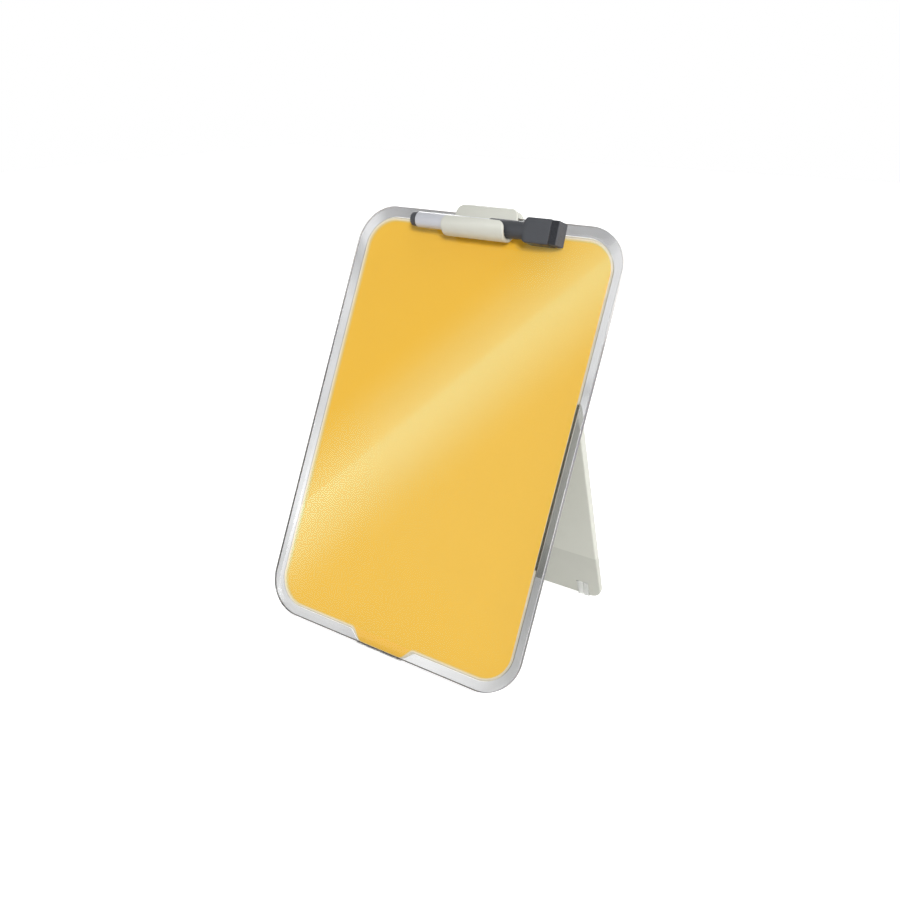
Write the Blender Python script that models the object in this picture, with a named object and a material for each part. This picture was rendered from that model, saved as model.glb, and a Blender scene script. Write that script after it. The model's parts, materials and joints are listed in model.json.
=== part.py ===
"""Desktop glass whiteboard with a fold-out stand, a lift-off pen holder and a marker.

Metres, +Z up. +X is the board's right-hand side seen from the front, and +Y points back.
Board pieces are drawn in the board's own frame: X across, Y behind the writing face, Z up
along the glass from its bottom edge. Stand pieces are drawn in the stand's frame, whose
origin is the hinge axis, with Y away from the glass and Z up along the leaf.
"""

from math import acos, asin, atan2, cos, pi, radians, sin, sqrt, tan

import bmesh
import bpy
from mathutils import Vector

# Pose at rest
BOARD_TILT = radians(25.8)
STAND_ANGLE = radians(45.0)
PEN_TURN = radians(6.5)
EDGE_HEIGHT = 0.0024
SEAT_GAP = 0.0003
CUT_OVERRUN = 0.001

# Glass plate
GLASS_WIDTH = 0.210
GLASS_HEIGHT = 0.3054
GLASS_THICKNESS = 0.004
GLASS_CORNER_RADIUS = 0.0275
BEVEL_WIDTH = 0.0060
BEVEL_DROP = 0.0005
GLASS_ARRIS = 0.0004
CORNER_STEPS = 9

# Colour film and the carrier sheet behind it
PRINT_SIDE_MARGIN = 0.0077
PRINT_TOP_MARGIN = 0.0084
PRINT_CORNER_RADIUS = 0.0213
FILM_THICKNESS = 0.00025
CARRIER_THICKNESS = 0.0003
CARRIER_OVERHANG = 0.0012
TAB_TOP_HALF_WIDTH = 0.0270
TAB_BOTTOM_HALF_WIDTH = 0.0165
TAB_EDGE_MARGIN = 0.0004
TAB_STEPS = 6

# Foam strips beside the stand bay
FOAM_THICKNESS = 0.0015
FOAM_WIDTH = 0.0060
FOAM_LAP = 0.0007
FOAM_BOTTOM_MARGIN = 0.0850

# Back cover
COVER_SIDE_INSET = 0.0010
COVER_TOP_MARGIN = 0.0130
COVER_WALL = 0.0018
COVER_SIDE_SLOPE = 0.55
COVER_EDGE_RADIUS = 0.0016
COVER_EDGE_SHARES = (0.5, 0.87, 1.0)
COVER_CORNER_RADIUS = 0.019
PLATE_THICKNESS = 0.0014
PLATE_CORNER_RADIUS = 0.016
PLATE_LAP = 0.0120
PLATE_TAB_SETBACK = 0.0012
CAVITY_TOP_BAND = 0.0110
NOTCH_CLEARANCE = 0.0012
CAVITY_RIB = 0.0020
CAVITY_COUNT = 4

# Hinge
HINGE_HEIGHT = 0.191
LEAF_CLEARANCE = 0.00035
PIN_RADIUS = 0.00125
PIN_CLEARANCE = 0.00015
PIN_LENGTH = 0.0300
PIN_END_RECESS = 0.0003
PIN_FACETS = 24
LUG_WIDTH = 0.0100
LUG_FROM_SIDE = 0.0125
LUG_ROOT = 0.0045
LUG_SIDE_GAP = 0.0003
LUG_STEPS = 20

# Stand leaf
LEAF_SIDE_SETBACK = 0.0008
LEAF_TOP_THICKNESS = 0.0064
LEAF_TIP_THICKNESS = 0.0048
LEAF_CORNER_RADIUS = 0.0100
LEAF_EDGE_RADIUS = 0.0008
LEAF_WEB = 0.0020
LEAF_RIM = 0.0030
LEAF_RIB = 0.0020
LEAF_HEAD = 0.0090
LEAF_POCKET_RADIUS = 0.0050
LEAF_FLOOR_GAP = 0.00040
CREASE_HEIGHT = 0.0440
CREASE_STEP = 0.0003
CREASE_SLOPE = radians(1.2)
STAND_BAYS = 3
LEAF_TOP_STEPS = 12
LEAF_EDGE_STEPS = 3
POCKET_STEPS = 5

# Stand feet
FOOT_WIDTH = 0.0090
FOOT_HEIGHT = 0.0135
FOOT_DEPTH = 0.0022
FOOT_PROUD = 0.0009
FOOT_FROM_SIDE = 0.0145
FOOT_STEPS = 6
FOOT_TOP_SHARES = ((1.0, 1.0), (0.33, 0.75), (0.0, 0.33))

# Foot pad under the glass
PAD_HALF_WIDTH = 0.0190
PAD_THICKNESS = 0.0006
PAD_FRONT_INSET = 0.0004
PAD_REAR_OVERHANG = 0.0008
PAD_END_RADIUS = 0.0004
PAD_STEPS = 4

# Pen holder
HOLDER_HALF_WIDTH = 0.0245
HOLDER_WALL = 0.0024
HOLDER_TOP_RISE = 0.0061
HOLDER_TOP_RADIUS = 0.0075
HOLDER_LIP_DROP = 0.0073
HOLDER_LIP_RADIUS = 0.0055
HOLDER_LEG_DROP = 0.0194
HOLDER_BEND_RADIUS = 0.0012
HOLDER_EDGE_CHAMFER = 0.0006
HOLDER_CURL_STEPS = 14
HOLDER_ARC_STEPS = 6
HOLDER_BEND_STEPS = 5
HOLDER_END_SHARES = (0.1, 0.4, 1.0)
HOLDER_RIB_WIDTH = 0.0020
HOLDER_END_WALL = 0.0020
HOLDER_END_INSET = 0.0005
HOLDER_WALL_LAP = 0.0003
PEN_CLEARANCE = 0.0005
PEN_DROP = 0.0103

# Grip pad inside the holder
GRIP_WIDTH = 0.0300
GRIP_TOP_INSET = 0.0010
GRIP_BOTTOM_GAP = 0.0006
GRIP_END_RADIUS = 0.0015

# Marker
BARREL_RADIUS = 0.0053
PEN_LEFT_END = -0.0530
PLUG_LENGTH = 0.0045
PLUG_TAPER = 0.0006
PLUG_SPIGOT = 0.0060
CAP_MOUTH = 0.0100
NECK_WALL = 0.00055
BARREL_NECK_LENGTH = 0.0095
NECK_STEP = 0.0005
SECTION_SPIGOT = 0.0050
SECTION_LENGTH = 0.0075
SECTION_FLANGE_STEP = 0.0003
SECTION_SHOULDER = 0.0025
SECTION_TIP_RADIUS = 0.0027
NIB_RADIUS = 0.0016
NIB_LENGTH = 0.0160
NIB_SHOW = 0.0045
NIB_POINT = 0.0016
NIB_STEPS = 5
NIB_FACETS = 16
RESERVOIR_RADIUS = 0.0039
RESERVOIR_END_GAP = 0.0006
RUN_CLEARANCE = 0.00015
PEN_FACETS = 32

# Marker cap
CAP_RADIUS = 0.0059
CAP_ROUND_LENGTH = 0.0262
CAP_FLARE_LENGTH = 0.0046
CAP_FLARE_SHARES = (0.25, 0.5, 0.75, 1.0)
BLOCK_LENGTH = 0.0166
BLOCK_HALF_DEPTH = 0.0065
BLOCK_HALF_HEIGHT = 0.0081
BLOCK_CHAMFER = 0.0009
BLOCK_END_CHAMFER = 0.0005
CAP_BORE_CLEARANCE = 0.0002
CAP_MOUTH_CHAMFER = 0.0004
CAP_BORE_STEP = 0.0012
SEAL_WALL = 0.0008
SEAL_TIP_GAP = 0.0010

# Eraser felt in the cap's end
FELT_RIM = 0.0013
FELT_POCKET_DEPTH = 0.0050
FELT_STANDOUT = 0.0056
FELT_FACE_INSET = 0.0004
FELT_END_CHAMFER = 0.0005

# Places worked out from the sizes above
FILM_FRONT = GLASS_THICKNESS + SEAT_GAP
FILM_BACK = FILM_FRONT + FILM_THICKNESS
CARRIER_FRONT = FILM_BACK + SEAT_GAP
CARRIER_BACK = CARRIER_FRONT + CARRIER_THICKNESS
COVER_FRONT = CARRIER_BACK + SEAT_GAP
BAY_FLOOR = COVER_FRONT + FOAM_THICKNESS
LEAF_RADIUS = LEAF_TOP_THICKNESS / 2
HINGE_DEPTH = BAY_FLOOR + LEAF_CLEARANCE + LEAF_RADIUS
COVER_BACK = HINGE_DEPTH + LEAF_RADIUS
PRINT_HALF_WIDTH = GLASS_WIDTH / 2 - PRINT_SIDE_MARGIN
LEAF_WIDTH = 2 * (PRINT_HALF_WIDTH - LEAF_SIDE_SETBACK)
LEAF_LEAN = STAND_ANGLE - BOARD_TILT
HINGE_WORLD_HEIGHT = EDGE_HEIGHT + HINGE_HEIGHT * cos(BOARD_TILT) - HINGE_DEPTH * sin(BOARD_TILT)
CREASE_SETBACK = CREASE_STEP + CREASE_HEIGHT * tan(CREASE_SLOPE)
LEAF_TIP_FRONT = -LEAF_RADIUS + CREASE_SETBACK
LEAF_TIP_BACK = -LEAF_RADIUS + LEAF_TIP_THICKNESS
LEAF_LENGTH = (HINGE_WORLD_HEIGHT + LEAF_TIP_FRONT * sin(LEAF_LEAN) - LEAF_FLOOR_GAP) / cos(LEAF_LEAN)
LUG_CENTRE = LEAF_WIDTH / 2 - LUG_FROM_SIDE - LUG_WIDTH / 2
CRADLE_RADIUS = CAP_RADIUS + PEN_CLEARANCE
PEN_DEPTH = -(SEAT_GAP + HOLDER_WALL + CRADLE_RADIUS)
PEN_HEIGHT = GLASS_HEIGHT - PEN_DROP
HOLDER_LEG_FRONT = COVER_FRONT
HOLDER_TOP = GLASS_HEIGHT + HOLDER_TOP_RISE
BARREL_LEFT = PEN_LEFT_END + PLUG_LENGTH
NECK_RADIUS = BARREL_RADIUS - NECK_STEP
NECK_BORE = NECK_RADIUS - NECK_WALL
BARREL_RIGHT = CAP_MOUTH + BARREL_NECK_LENGTH
SECTION_RIGHT = BARREL_RIGHT + SECTION_LENGTH
NIB_RIGHT = SECTION_RIGHT + NIB_SHOW
CAP_FLARE_START = CAP_MOUTH + CAP_ROUND_LENGTH
CAP_BLOCK_START = CAP_FLARE_START + CAP_FLARE_LENGTH
CAP_END = CAP_BLOCK_START + BLOCK_LENGTH
CAP_BORE_END = NIB_RIGHT + SEAL_TIP_GAP + SEAL_WALL + SEAT_GAP


def clear_scene():
    for item in list(bpy.data.objects):
        bpy.data.objects.remove(item, do_unlink=True)


def make_material(name, colour, roughness, metallic=0.0, transmission=0.0):
    material = bpy.data.materials.new(name)
    material.use_nodes = True
    shader = material.node_tree.nodes["Principled BSDF"]
    shader.inputs["Base Color"].default_value = (*colour, 1.0)
    shader.inputs["Roughness"].default_value = roughness
    shader.inputs["Metallic"].default_value = metallic
    shader.inputs["Transmission Weight"].default_value = transmission
    material.diffuse_color = (*colour, 1.0)
    return material


def make_materials():
    return {
        "glass": make_material("clear_glass", (0.86, 0.90, 0.90), 0.03, transmission=1.0),
        "film": make_material("warm_yellow_print", (0.85, 0.50, 0.085), 0.35),
        "carrier": make_material("translucent_cream_sheet", (0.90, 0.87, 0.78), 0.45),
        "foam": make_material("dark_foam", (0.035, 0.028, 0.018), 0.90),
        "shell": make_material("warm_white_plastic", (0.69, 0.69, 0.62), 0.45),
        "pad": make_material("dark_rubber", (0.03, 0.03, 0.03), 0.80),
        "pin": make_material("smooth_white_plastic", (0.70, 0.70, 0.64), 0.30),
        "foot": make_material("clear_rubber", (0.80, 0.82, 0.80), 0.25, transmission=0.7),
        "grip": make_material("grey_rubber", (0.20, 0.20, 0.20), 0.80),
        "barrel": make_material("light_grey_plastic", (0.56, 0.58, 0.62), 0.35),
        "cap": make_material("slate_grey_plastic", (0.085, 0.09, 0.105), 0.50),
        "fibre": make_material("ink_fibre", (0.05, 0.05, 0.06), 0.95),
        "felt": make_material("dark_felt", (0.04, 0.042, 0.048), 1.0),
        "section": make_material("white_plastic", (0.80, 0.80, 0.78), 0.40),
    }


def empty(name, parent=None, place=(0, 0, 0), turn=0.0):
    item = bpy.data.objects.new(name, None)
    bpy.context.scene.collection.objects.link(item)
    item.parent = parent
    item.location = place
    item.rotation_euler = (turn, 0, 0)
    return item


def finish_mesh(name, bm, material, parent, sharp_angle=35.0):
    bmesh.ops.recalc_face_normals(bm, faces=bm.faces)
    mesh = bpy.data.meshes.new(name)
    bm.to_mesh(mesh)
    bm.free()
    mesh.shade_smooth()
    mesh.set_sharp_from_angle(angle=radians(sharp_angle))
    item = bpy.data.objects.new(name, mesh)
    bpy.context.scene.collection.objects.link(item)
    item.parent = parent
    if material is not None:
        mesh.materials.append(material)
    return item


def bridge_rings(bm, rings, closed=False):
    """Skin a list of equal rings, with caps at both ends, or joined last to first."""
    loops = [[bm.verts.new(point) for point in ring] for ring in rings]
    pairs = list(zip(loops, loops[1:]))
    if closed:
        pairs.append((loops[-1], loops[0]))
    count = len(loops[0])
    for first, second in pairs:
        for i in range(count):
            j = (i + 1) % count
            bm.faces.new((first[i], first[j], second[j], second[i]))
    if not closed:
        bm.faces.new(loops[0])
        bm.faces.new(loops[-1])


def skin(name, rings, material, parent, closed=False):
    bm = bmesh.new()
    bridge_rings(bm, rings, closed)
    return finish_mesh(name, bm, material, parent)


def cut(target, name, solids, parent, operation="DIFFERENCE"):
    """Cut the target with one helper object that holds several separate solids of rings."""
    bm = bmesh.new()
    for rings in solids:
        bridge_rings(bm, rings)
    tool = finish_mesh(name, bm, None, parent)
    tool.hide_render = True
    tool.display_type = "WIRE"
    modifier = target.modifiers.new(name, "BOOLEAN")
    modifier.operation = operation
    modifier.object = tool
    return tool


def arc(centre, radius, start, stop, steps):
    return [
        (centre[0] + radius * cos(start + (stop - start) * i / steps),
         centre[1] + radius * sin(start + (stop - start) * i / steps))
        for i in range(steps + 1)
    ]


def rounded_outline(half_width, bottom, top, radius, bottom_edge=(), bottom_radius=None):
    """Anticlockwise outline in X and Z, with optional points along its bottom edge."""
    low = radius if bottom_radius is None else bottom_radius
    outline = arc((-half_width + low, bottom + low), low, pi, 1.5 * pi, CORNER_STEPS)
    outline += list(bottom_edge)
    outline += arc((half_width - low, bottom + low), low, 1.5 * pi, 2 * pi, CORNER_STEPS)
    outline += arc((half_width - radius, top - radius), radius, 0, pi / 2, CORNER_STEPS)
    outline += arc((-half_width + radius, top - radius), radius, pi / 2, pi, CORNER_STEPS)
    return outline


def tab_edge(edge, tab_bottom, grow):
    """The bottom tab: a smooth shoulder down, a flat stretch and a smooth shoulder up."""
    shoulder = []
    for i in range(TAB_STEPS + 1):
        share = i / TAB_STEPS
        ease = share * share * (3 - 2 * share)
        half = TAB_TOP_HALF_WIDTH + (TAB_BOTTOM_HALF_WIDTH - TAB_TOP_HALF_WIDTH) * share + grow
        shoulder.append((half, edge + (tab_bottom - edge) * ease))
    return [(-x, z) for x, z in shoulder] + list(reversed(shoulder))


def at_depth(outline, depth):
    return [(x, depth, z) for x, z in outline]


def box_rings(x_range, y_range, z_range):
    outline = [(x_range[0], z_range[0]), (x_range[1], z_range[0]),
               (x_range[1], z_range[1]), (x_range[0], z_range[1])]
    return [at_depth(outline, y_range[0]), at_depth(outline, y_range[1])]


def across(profile, x):
    return [(x, y, z) for y, z in profile]


def circle(radius, facets):
    return arc((0, 0), radius, 0, 2 * pi * (facets - 1) / facets, facets - 1)


def cylinder_rings(radius, x_range):
    return [across(circle(radius, PIN_FACETS), x) for x in x_range]


def build_glass(materials, board):
    half = GLASS_WIDTH / 2
    rings = []
    for inset, depth in ((BEVEL_WIDTH, 0),
                         (GLASS_ARRIS, BEVEL_DROP),
                         (0, BEVEL_DROP + GLASS_ARRIS),
                         (0, GLASS_THICKNESS - GLASS_ARRIS),
                         (GLASS_ARRIS, GLASS_THICKNESS)):
        outline = rounded_outline(half - inset, inset, GLASS_HEIGHT - inset,
                                  GLASS_CORNER_RADIUS - inset)
        rings.append(at_depth(outline, depth))
    return skin("glass_plate", rings, materials["glass"], board)


def print_outline(grow):
    bottom = PRINT_SIDE_MARGIN - grow
    return rounded_outline(PRINT_HALF_WIDTH + grow, bottom,
                           GLASS_HEIGHT - PRINT_TOP_MARGIN + grow,
                           PRINT_CORNER_RADIUS + grow,
                           tab_edge(bottom, TAB_EDGE_MARGIN, grow))


def build_film(materials, board):
    outline = print_outline(0)
    rings = [at_depth(outline, FILM_FRONT), at_depth(outline, FILM_BACK)]
    return skin("colour_film", rings, materials["film"], board)


def build_carrier(materials, board):
    outline = print_outline(CARRIER_OVERHANG)
    rings = [at_depth(outline, CARRIER_FRONT), at_depth(outline, CARRIER_BACK)]
    return skin("carrier_sheet", rings, materials["carrier"], board)


def build_foam(materials, board):
    top = HINGE_HEIGHT + LEAF_RADIUS
    for side, name in ((-1, "side_foam_left"), (1, "side_foam_right")):
        inner, outer = PRINT_HALF_WIDTH - FOAM_WIDTH, PRINT_HALF_WIDTH + FOAM_LAP
        x_range = sorted((side * inner, side * outer))
        rings = box_rings(x_range, (COVER_FRONT, BAY_FLOOR), (FOAM_BOTTOM_MARGIN, top))
        skin(name, rings, materials["foam"], board)


def stop_height(depth, offset):
    """Height on the stop plane, which lies offset from the hinge axis, square to its slope."""
    return HINGE_HEIGHT + (offset - (depth - HINGE_DEPTH) * cos(STAND_ANGLE)) / sin(STAND_ANGLE)


def cover_section(depth, inset):
    """The housing's outline at one depth: sloped stop face below, round corners above."""
    half = PRINT_HALF_WIDTH - COVER_SIDE_INSET - COVER_SIDE_SLOPE * (depth - COVER_FRONT) - inset
    top = GLASS_HEIGHT - COVER_TOP_MARGIN - inset
    radius = COVER_CORNER_RADIUS - inset
    bottom = stop_height(depth, LEAF_RADIUS + SEAT_GAP)
    outline = [(-half, bottom), (half, bottom)]
    outline += arc((half - radius, top - radius), radius, 0, pi / 2, CORNER_STEPS)
    outline += arc((-half + radius, top - radius), radius, pi / 2, pi, CORNER_STEPS)
    return at_depth(outline, depth)


def plate_rings():
    half = PRINT_HALF_WIDTH - FOAM_WIDTH - SEAT_GAP
    bottom = PRINT_SIDE_MARGIN + COVER_SIDE_INSET
    outline = rounded_outline(half, bottom, HINGE_HEIGHT + PLATE_LAP + LEAF_RADIUS,
                              GLASS_ARRIS,
                              tab_edge(bottom, TAB_EDGE_MARGIN + PLATE_TAB_SETBACK, -PLATE_TAB_SETBACK),
                              PLATE_CORNER_RADIUS)
    return [at_depth(outline, COVER_FRONT), at_depth(outline, COVER_FRONT + PLATE_THICKNESS)]


def lug_profile():
    """Side view of a hinge lug: a round eye on the axis, widened where it meets the plate."""
    root = COVER_FRONT + PLATE_THICKNESS / 2 - HINGE_DEPTH
    reach = sqrt(root * root + LUG_ROOT * LUG_ROOT)
    tangent = acos(LEAF_RADIUS / reach) - atan2(LUG_ROOT, -root)
    eye = arc((0, 0), LEAF_RADIUS, -(pi - tangent), pi - tangent, LUG_STEPS)
    return [(root, -LUG_ROOT)] + eye + [(root, LUG_ROOT)]


def place_on_hinge(rings):
    return [[(x, y + HINGE_DEPTH, z + HINGE_HEIGHT) for x, y, z in ring] for ring in rings]


def cavity_rings(left, right):
    """One hollow behind the carrier sheet, between the housing's walls and ribs."""
    depth_end = COVER_BACK - COVER_WALL
    top = GLASS_HEIGHT - COVER_TOP_MARGIN - CAVITY_TOP_BAND
    rings = []
    for depth in (COVER_FRONT - CUT_OVERRUN, depth_end):
        bottom = stop_height(depth, LEAF_RADIUS + SEAT_GAP + COVER_WALL)
        rings.append(at_depth([(left, bottom), (right, bottom), (right, top), (left, top)], depth))
    return rings


def build_cover(materials, board):
    last_inset = COVER_EDGE_RADIUS
    rings = [cover_section(COVER_FRONT, 0), cover_section(COVER_BACK - COVER_EDGE_RADIUS, 0)]
    for share in COVER_EDGE_SHARES:
        drop = COVER_EDGE_RADIUS * (1 - share)
        inset = last_inset - sqrt(last_inset * last_inset - (last_inset - drop) ** 2)
        rings.append(cover_section(COVER_BACK - drop, inset))
    cover = skin("back_cover", rings, materials["shell"], board)
    lugs = []
    for side in (-1, 1):
        centre = side * LUG_CENTRE
        profile = lug_profile()
        lugs.append(place_on_hinge([across(profile, centre - LUG_WIDTH / 2),
                                    across(profile, centre + LUG_WIDTH / 2)]))
    cut(cover, "cover_plate_join", [plate_rings()], board, "UNION")
    cut(cover, "cover_lug_join", lugs, board, "UNION")

    side_wall = (PRINT_HALF_WIDTH - COVER_SIDE_INSET
                 - COVER_SIDE_SLOPE * (COVER_BACK - COVER_FRONT) - COVER_WALL)
    bay = (2 * side_wall - CAVITY_RIB * (CAVITY_COUNT - 1)) / CAVITY_COUNT
    hollows = []
    for i in range(CAVITY_COUNT):
        left = -side_wall + i * (bay + CAVITY_RIB)
        hollows.append(cavity_rings(left, left + bay))
    cut(cover, "cover_hollow_cut", hollows, board)

    notch_half = HOLDER_HALF_WIDTH + NOTCH_CLEARANCE
    notch_floor = GLASS_HEIGHT - HOLDER_LEG_DROP - NOTCH_CLEARANCE
    notch = box_rings((-notch_half, notch_half), (COVER_FRONT - CUT_OVERRUN, COVER_BACK + CUT_OVERRUN),
                      (notch_floor, GLASS_HEIGHT))
    bores = []
    for side in (-1, 1):
        centre = side * LUG_CENTRE
        reach = LUG_WIDTH / 2 + CUT_OVERRUN
        bores.append(place_on_hinge(cylinder_rings(PIN_RADIUS + PIN_CLEARANCE,
                                                   (centre - reach, centre + reach))))
    cut(cover, "cover_openings_cut", [notch] + bores, board)
    return cover


def build_pins(materials, board):
    outer = LEAF_WIDTH / 2 - PIN_END_RECESS
    for side, name in ((-1, "hinge_pin_left"), (1, "hinge_pin_right")):
        x_range = sorted((side * outer, side * (outer - PIN_LENGTH)))
        rings = place_on_hinge(cylinder_rings(PIN_RADIUS, x_range))
        skin(name, rings, materials["pin"], board)


def leaf_section(x):
    """The leaf's side view at one place across it, drawn in near its ends and corners."""
    half = LEAF_WIDTH / 2
    into_edge = max(0, abs(x) - (half - LEAF_EDGE_RADIUS))
    edge = LEAF_EDGE_RADIUS - sqrt(max(0, LEAF_EDGE_RADIUS ** 2 - into_edge ** 2))
    into_corner = max(0, abs(x) - (half - LEAF_CORNER_RADIUS))
    corner = LEAF_CORNER_RADIUS - sqrt(max(0, LEAF_CORNER_RADIUS ** 2 - into_corner ** 2))
    bottom = -LEAF_LENGTH + corner
    crease = -LEAF_LENGTH + CREASE_HEIGHT
    front = -LEAF_RADIUS + edge
    slope = tan(CREASE_SLOPE)
    front_low = front + CREASE_STEP + (crease - bottom) * slope
    taper = (LEAF_RADIUS - LEAF_TIP_BACK) / LEAF_LENGTH
    back_low = LEAF_RADIUS + bottom * taper - edge
    round_off = LEAF_EDGE_RADIUS
    profile = arc((0, 0), LEAF_RADIUS - edge, 0, pi, LEAF_TOP_STEPS)
    profile += [(front, crease + CREASE_STEP), (front + CREASE_STEP, crease)]
    profile += arc((front_low + round_off, bottom + round_off), round_off,
                   pi, 1.5 * pi, LEAF_EDGE_STEPS)
    profile += arc((back_low - round_off, bottom + round_off), round_off,
                   1.5 * pi, 2 * pi, LEAF_EDGE_STEPS)
    return across(profile, x)


def leaf_stations():
    half = LEAF_WIDTH / 2
    near = [half - LEAF_CORNER_RADIUS * (1 - sin(pi / 2 * i / CORNER_STEPS))
            for i in range(CORNER_STEPS)]
    edge = [half - LEAF_EDGE_RADIUS * (1 - sin(pi / 2 * i / LEAF_EDGE_STEPS))
            for i in range(LEAF_EDGE_STEPS + 1)]
    right = [x for x in near if x < edge[0] - CREASE_STEP] + edge
    return [-x for x in reversed(right)] + right


def pocket_rings(left, right, low, high, floor_low, floor_high):
    """A tray pocket in the leaf's rear side, whose floor follows the web."""
    radius = LEAF_POCKET_RADIUS
    outline = arc((left + radius, low + radius), radius, pi, 1.5 * pi, POCKET_STEPS)
    outline += arc((right - radius, low + radius), radius, 1.5 * pi, 2 * pi, POCKET_STEPS)
    outline += arc((right - radius, high - radius), radius, 0, pi / 2, POCKET_STEPS)
    outline += arc((left + radius, high - radius), radius, pi / 2, pi, POCKET_STEPS)
    span = high - low
    floor = [(x, floor_low + (floor_high - floor_low) * (z - low) / span, z) for x, z in outline]
    mouth = [(x, LEAF_RADIUS + CUT_OVERRUN, z) for x, z in outline]
    return [floor, mouth]


def leaf_pockets():
    crease = -LEAF_LENGTH + CREASE_HEIGHT
    half = LEAF_WIDTH / 2 - LEAF_RIM
    bay = (2 * half - LEAF_RIB * (STAND_BAYS - 1)) / STAND_BAYS
    floor = -LEAF_RADIUS + LEAF_WEB
    lower_bottom = -LEAF_LENGTH + FOOT_HEIGHT + LEAF_RIM
    tip_floor = floor + CREASE_STEP + (crease - lower_bottom) * tan(CREASE_SLOPE)
    pockets = []
    for i in range(STAND_BAYS):
        left = -half + i * (bay + LEAF_RIB)
        right = left + bay
        pockets.append(pocket_rings(left, right, crease + LEAF_RIB, -LEAF_HEAD, floor, floor))
        pockets.append(pocket_rings(left, right, lower_bottom, crease, tip_floor, floor + CREASE_STEP))
    return pockets


def foot_centres():
    reach = LEAF_WIDTH / 2 - FOOT_FROM_SIDE
    return ((-reach, "stand_foot_left"), (reach, "stand_foot_right"))


def foot_back():
    return LEAF_TIP_FRONT + FOOT_DEPTH


def build_leaf(materials, hinge):
    leaf = skin("stand_leaf", [leaf_section(x) for x in leaf_stations()], materials["shell"], hinge)
    cut(leaf, "leaf_pocket_cut", leaf_pockets(), hinge)
    half = LEAF_WIDTH / 2
    notches = []
    bores = []
    for side in (-1, 1):
        reach = LUG_WIDTH / 2 + LUG_SIDE_GAP
        centre = side * LUG_CENTRE
        span = LEAF_RADIUS + CUT_OVERRUN
        notches.append(box_rings((centre - reach, centre + reach), (-span, span),
                                 (-LUG_ROOT - CUT_OVERRUN, span)))
        bore_end = half - PIN_END_RECESS - PIN_LENGTH - SEAT_GAP
        x_range = sorted((side * (half + CUT_OVERRUN), side * bore_end))
        bores.append(cylinder_rings(PIN_RADIUS + PIN_CLEARANCE, x_range))
    seats = []
    for centre, _ in foot_centres():
        reach = FOOT_WIDTH / 2 + SEAT_GAP
        low = -LEAF_LENGTH - CUT_OVERRUN
        seats.append(box_rings((centre - reach, centre + reach),
                               (-LEAF_RADIUS - CUT_OVERRUN, foot_back() + SEAT_GAP),
                               (low, -LEAF_LENGTH + FOOT_HEIGHT + SEAT_GAP)))
    cut(leaf, "leaf_notch_cut", notches + seats, hinge)
    cut(leaf, "leaf_bore_cut", bores, hinge)
    return leaf


def floor_in_leaf(y):
    """Height of the floor in the stand's frame at rest, at depth y."""
    return (-HINGE_WORLD_HEIGHT - y * sin(LEAF_LEAN)) / cos(LEAF_LEAN)


def foot_section(centre, proud, level=None):
    """A D-shaped cross-section, flat behind and crowned in front, on the floor or at one level."""
    half = FOOT_WIDTH / 2
    back = foot_back()
    front = LEAF_TIP_FRONT
    points = [(centre + half, back), (centre - half, back)]
    for i in range(FOOT_STEPS + 1):
        angle = pi * i / FOOT_STEPS
        points.append((centre - half * cos(angle), front - proud * sin(angle)))
    return [(x, y, floor_in_leaf(y) if level is None else level) for x, y in points]


def build_feet(materials, hinge):
    top = -LEAF_LENGTH + FOOT_HEIGHT
    for centre, name in foot_centres():
        rings = [foot_section(centre, FOOT_PROUD)]
        for drop_share, proud_share in FOOT_TOP_SHARES:
            rings.append(foot_section(centre, FOOT_PROUD * proud_share, top - FOOT_PROUD * drop_share))
        skin(name, rings, materials["foot"], hinge)


def floor_in_board(depth):
    """Height of the floor in the board's frame at one depth."""
    return (depth * sin(BOARD_TILT) - EDGE_HEIGHT) / cos(BOARD_TILT)


def build_foot_pad(materials, board):
    top = -SEAT_GAP
    bottom = top - PAD_THICKNESS
    front = PAD_FRONT_INSET
    back = GLASS_THICKNESS + PAD_REAR_OVERHANG
    flat_start = (EDGE_HEIGHT + bottom * cos(BOARD_TILT)) / sin(BOARD_TILT)
    round_off = PAD_END_RADIUS
    profile = [(front, top)]
    profile += arc((front + round_off, bottom + round_off), round_off, pi, 1.5 * pi, PAD_STEPS)
    profile += [(flat_start, bottom), (back, floor_in_board(back)), (back, top)]
    rings = [across(profile, -PAD_HALF_WIDTH), across(profile, PAD_HALF_WIDTH)]
    return skin("board_foot_pad", rings, materials["pad"], board)


def corner_heights(base, radius, top):
    """Heights from base up to top that divide a rounded corner of that radius evenly."""
    last = asin(min((top - base) / radius, 1))
    return [base + radius * sin(last * i / HOLDER_ARC_STEPS) for i in range(HOLDER_ARC_STEPS + 1)]


def holder_path():
    """Centre line of the hook's wall, from the front lip round the pen and over the glass."""
    wall = HOLDER_WALL / 2
    radius = CRADLE_RADIUS + wall
    lip_top = GLASS_HEIGHT - HOLDER_LIP_DROP
    lip = corner_heights(lip_top - HOLDER_LIP_RADIUS, HOLDER_LIP_RADIUS, lip_top)
    path = [(PEN_DEPTH - radius, height) for height in reversed(lip) if height > PEN_HEIGHT + SEAT_GAP]
    path += arc((PEN_DEPTH, PEN_HEIGHT), radius, pi, 2 * pi, HOLDER_CURL_STEPS)
    front = PEN_DEPTH + radius
    bridge = HOLDER_TOP - wall
    leg = HOLDER_LEG_FRONT + wall
    bend = HOLDER_BEND_RADIUS + wall
    sides = corner_heights(HOLDER_TOP - HOLDER_TOP_RADIUS, HOLDER_TOP_RADIUS, bridge - bend)
    path += [(front, height) for height in sides[:-1]]
    path += arc((front + bend, bridge - bend), bend, pi, pi / 2, HOLDER_BEND_STEPS)
    path += arc((leg - bend, bridge - bend), bend, pi / 2, 0, HOLDER_BEND_STEPS)
    path += [(leg, height) for height in reversed(sides[:-1])]
    path.append((leg, GLASS_HEIGHT - HOLDER_LEG_DROP))
    return path


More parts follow.
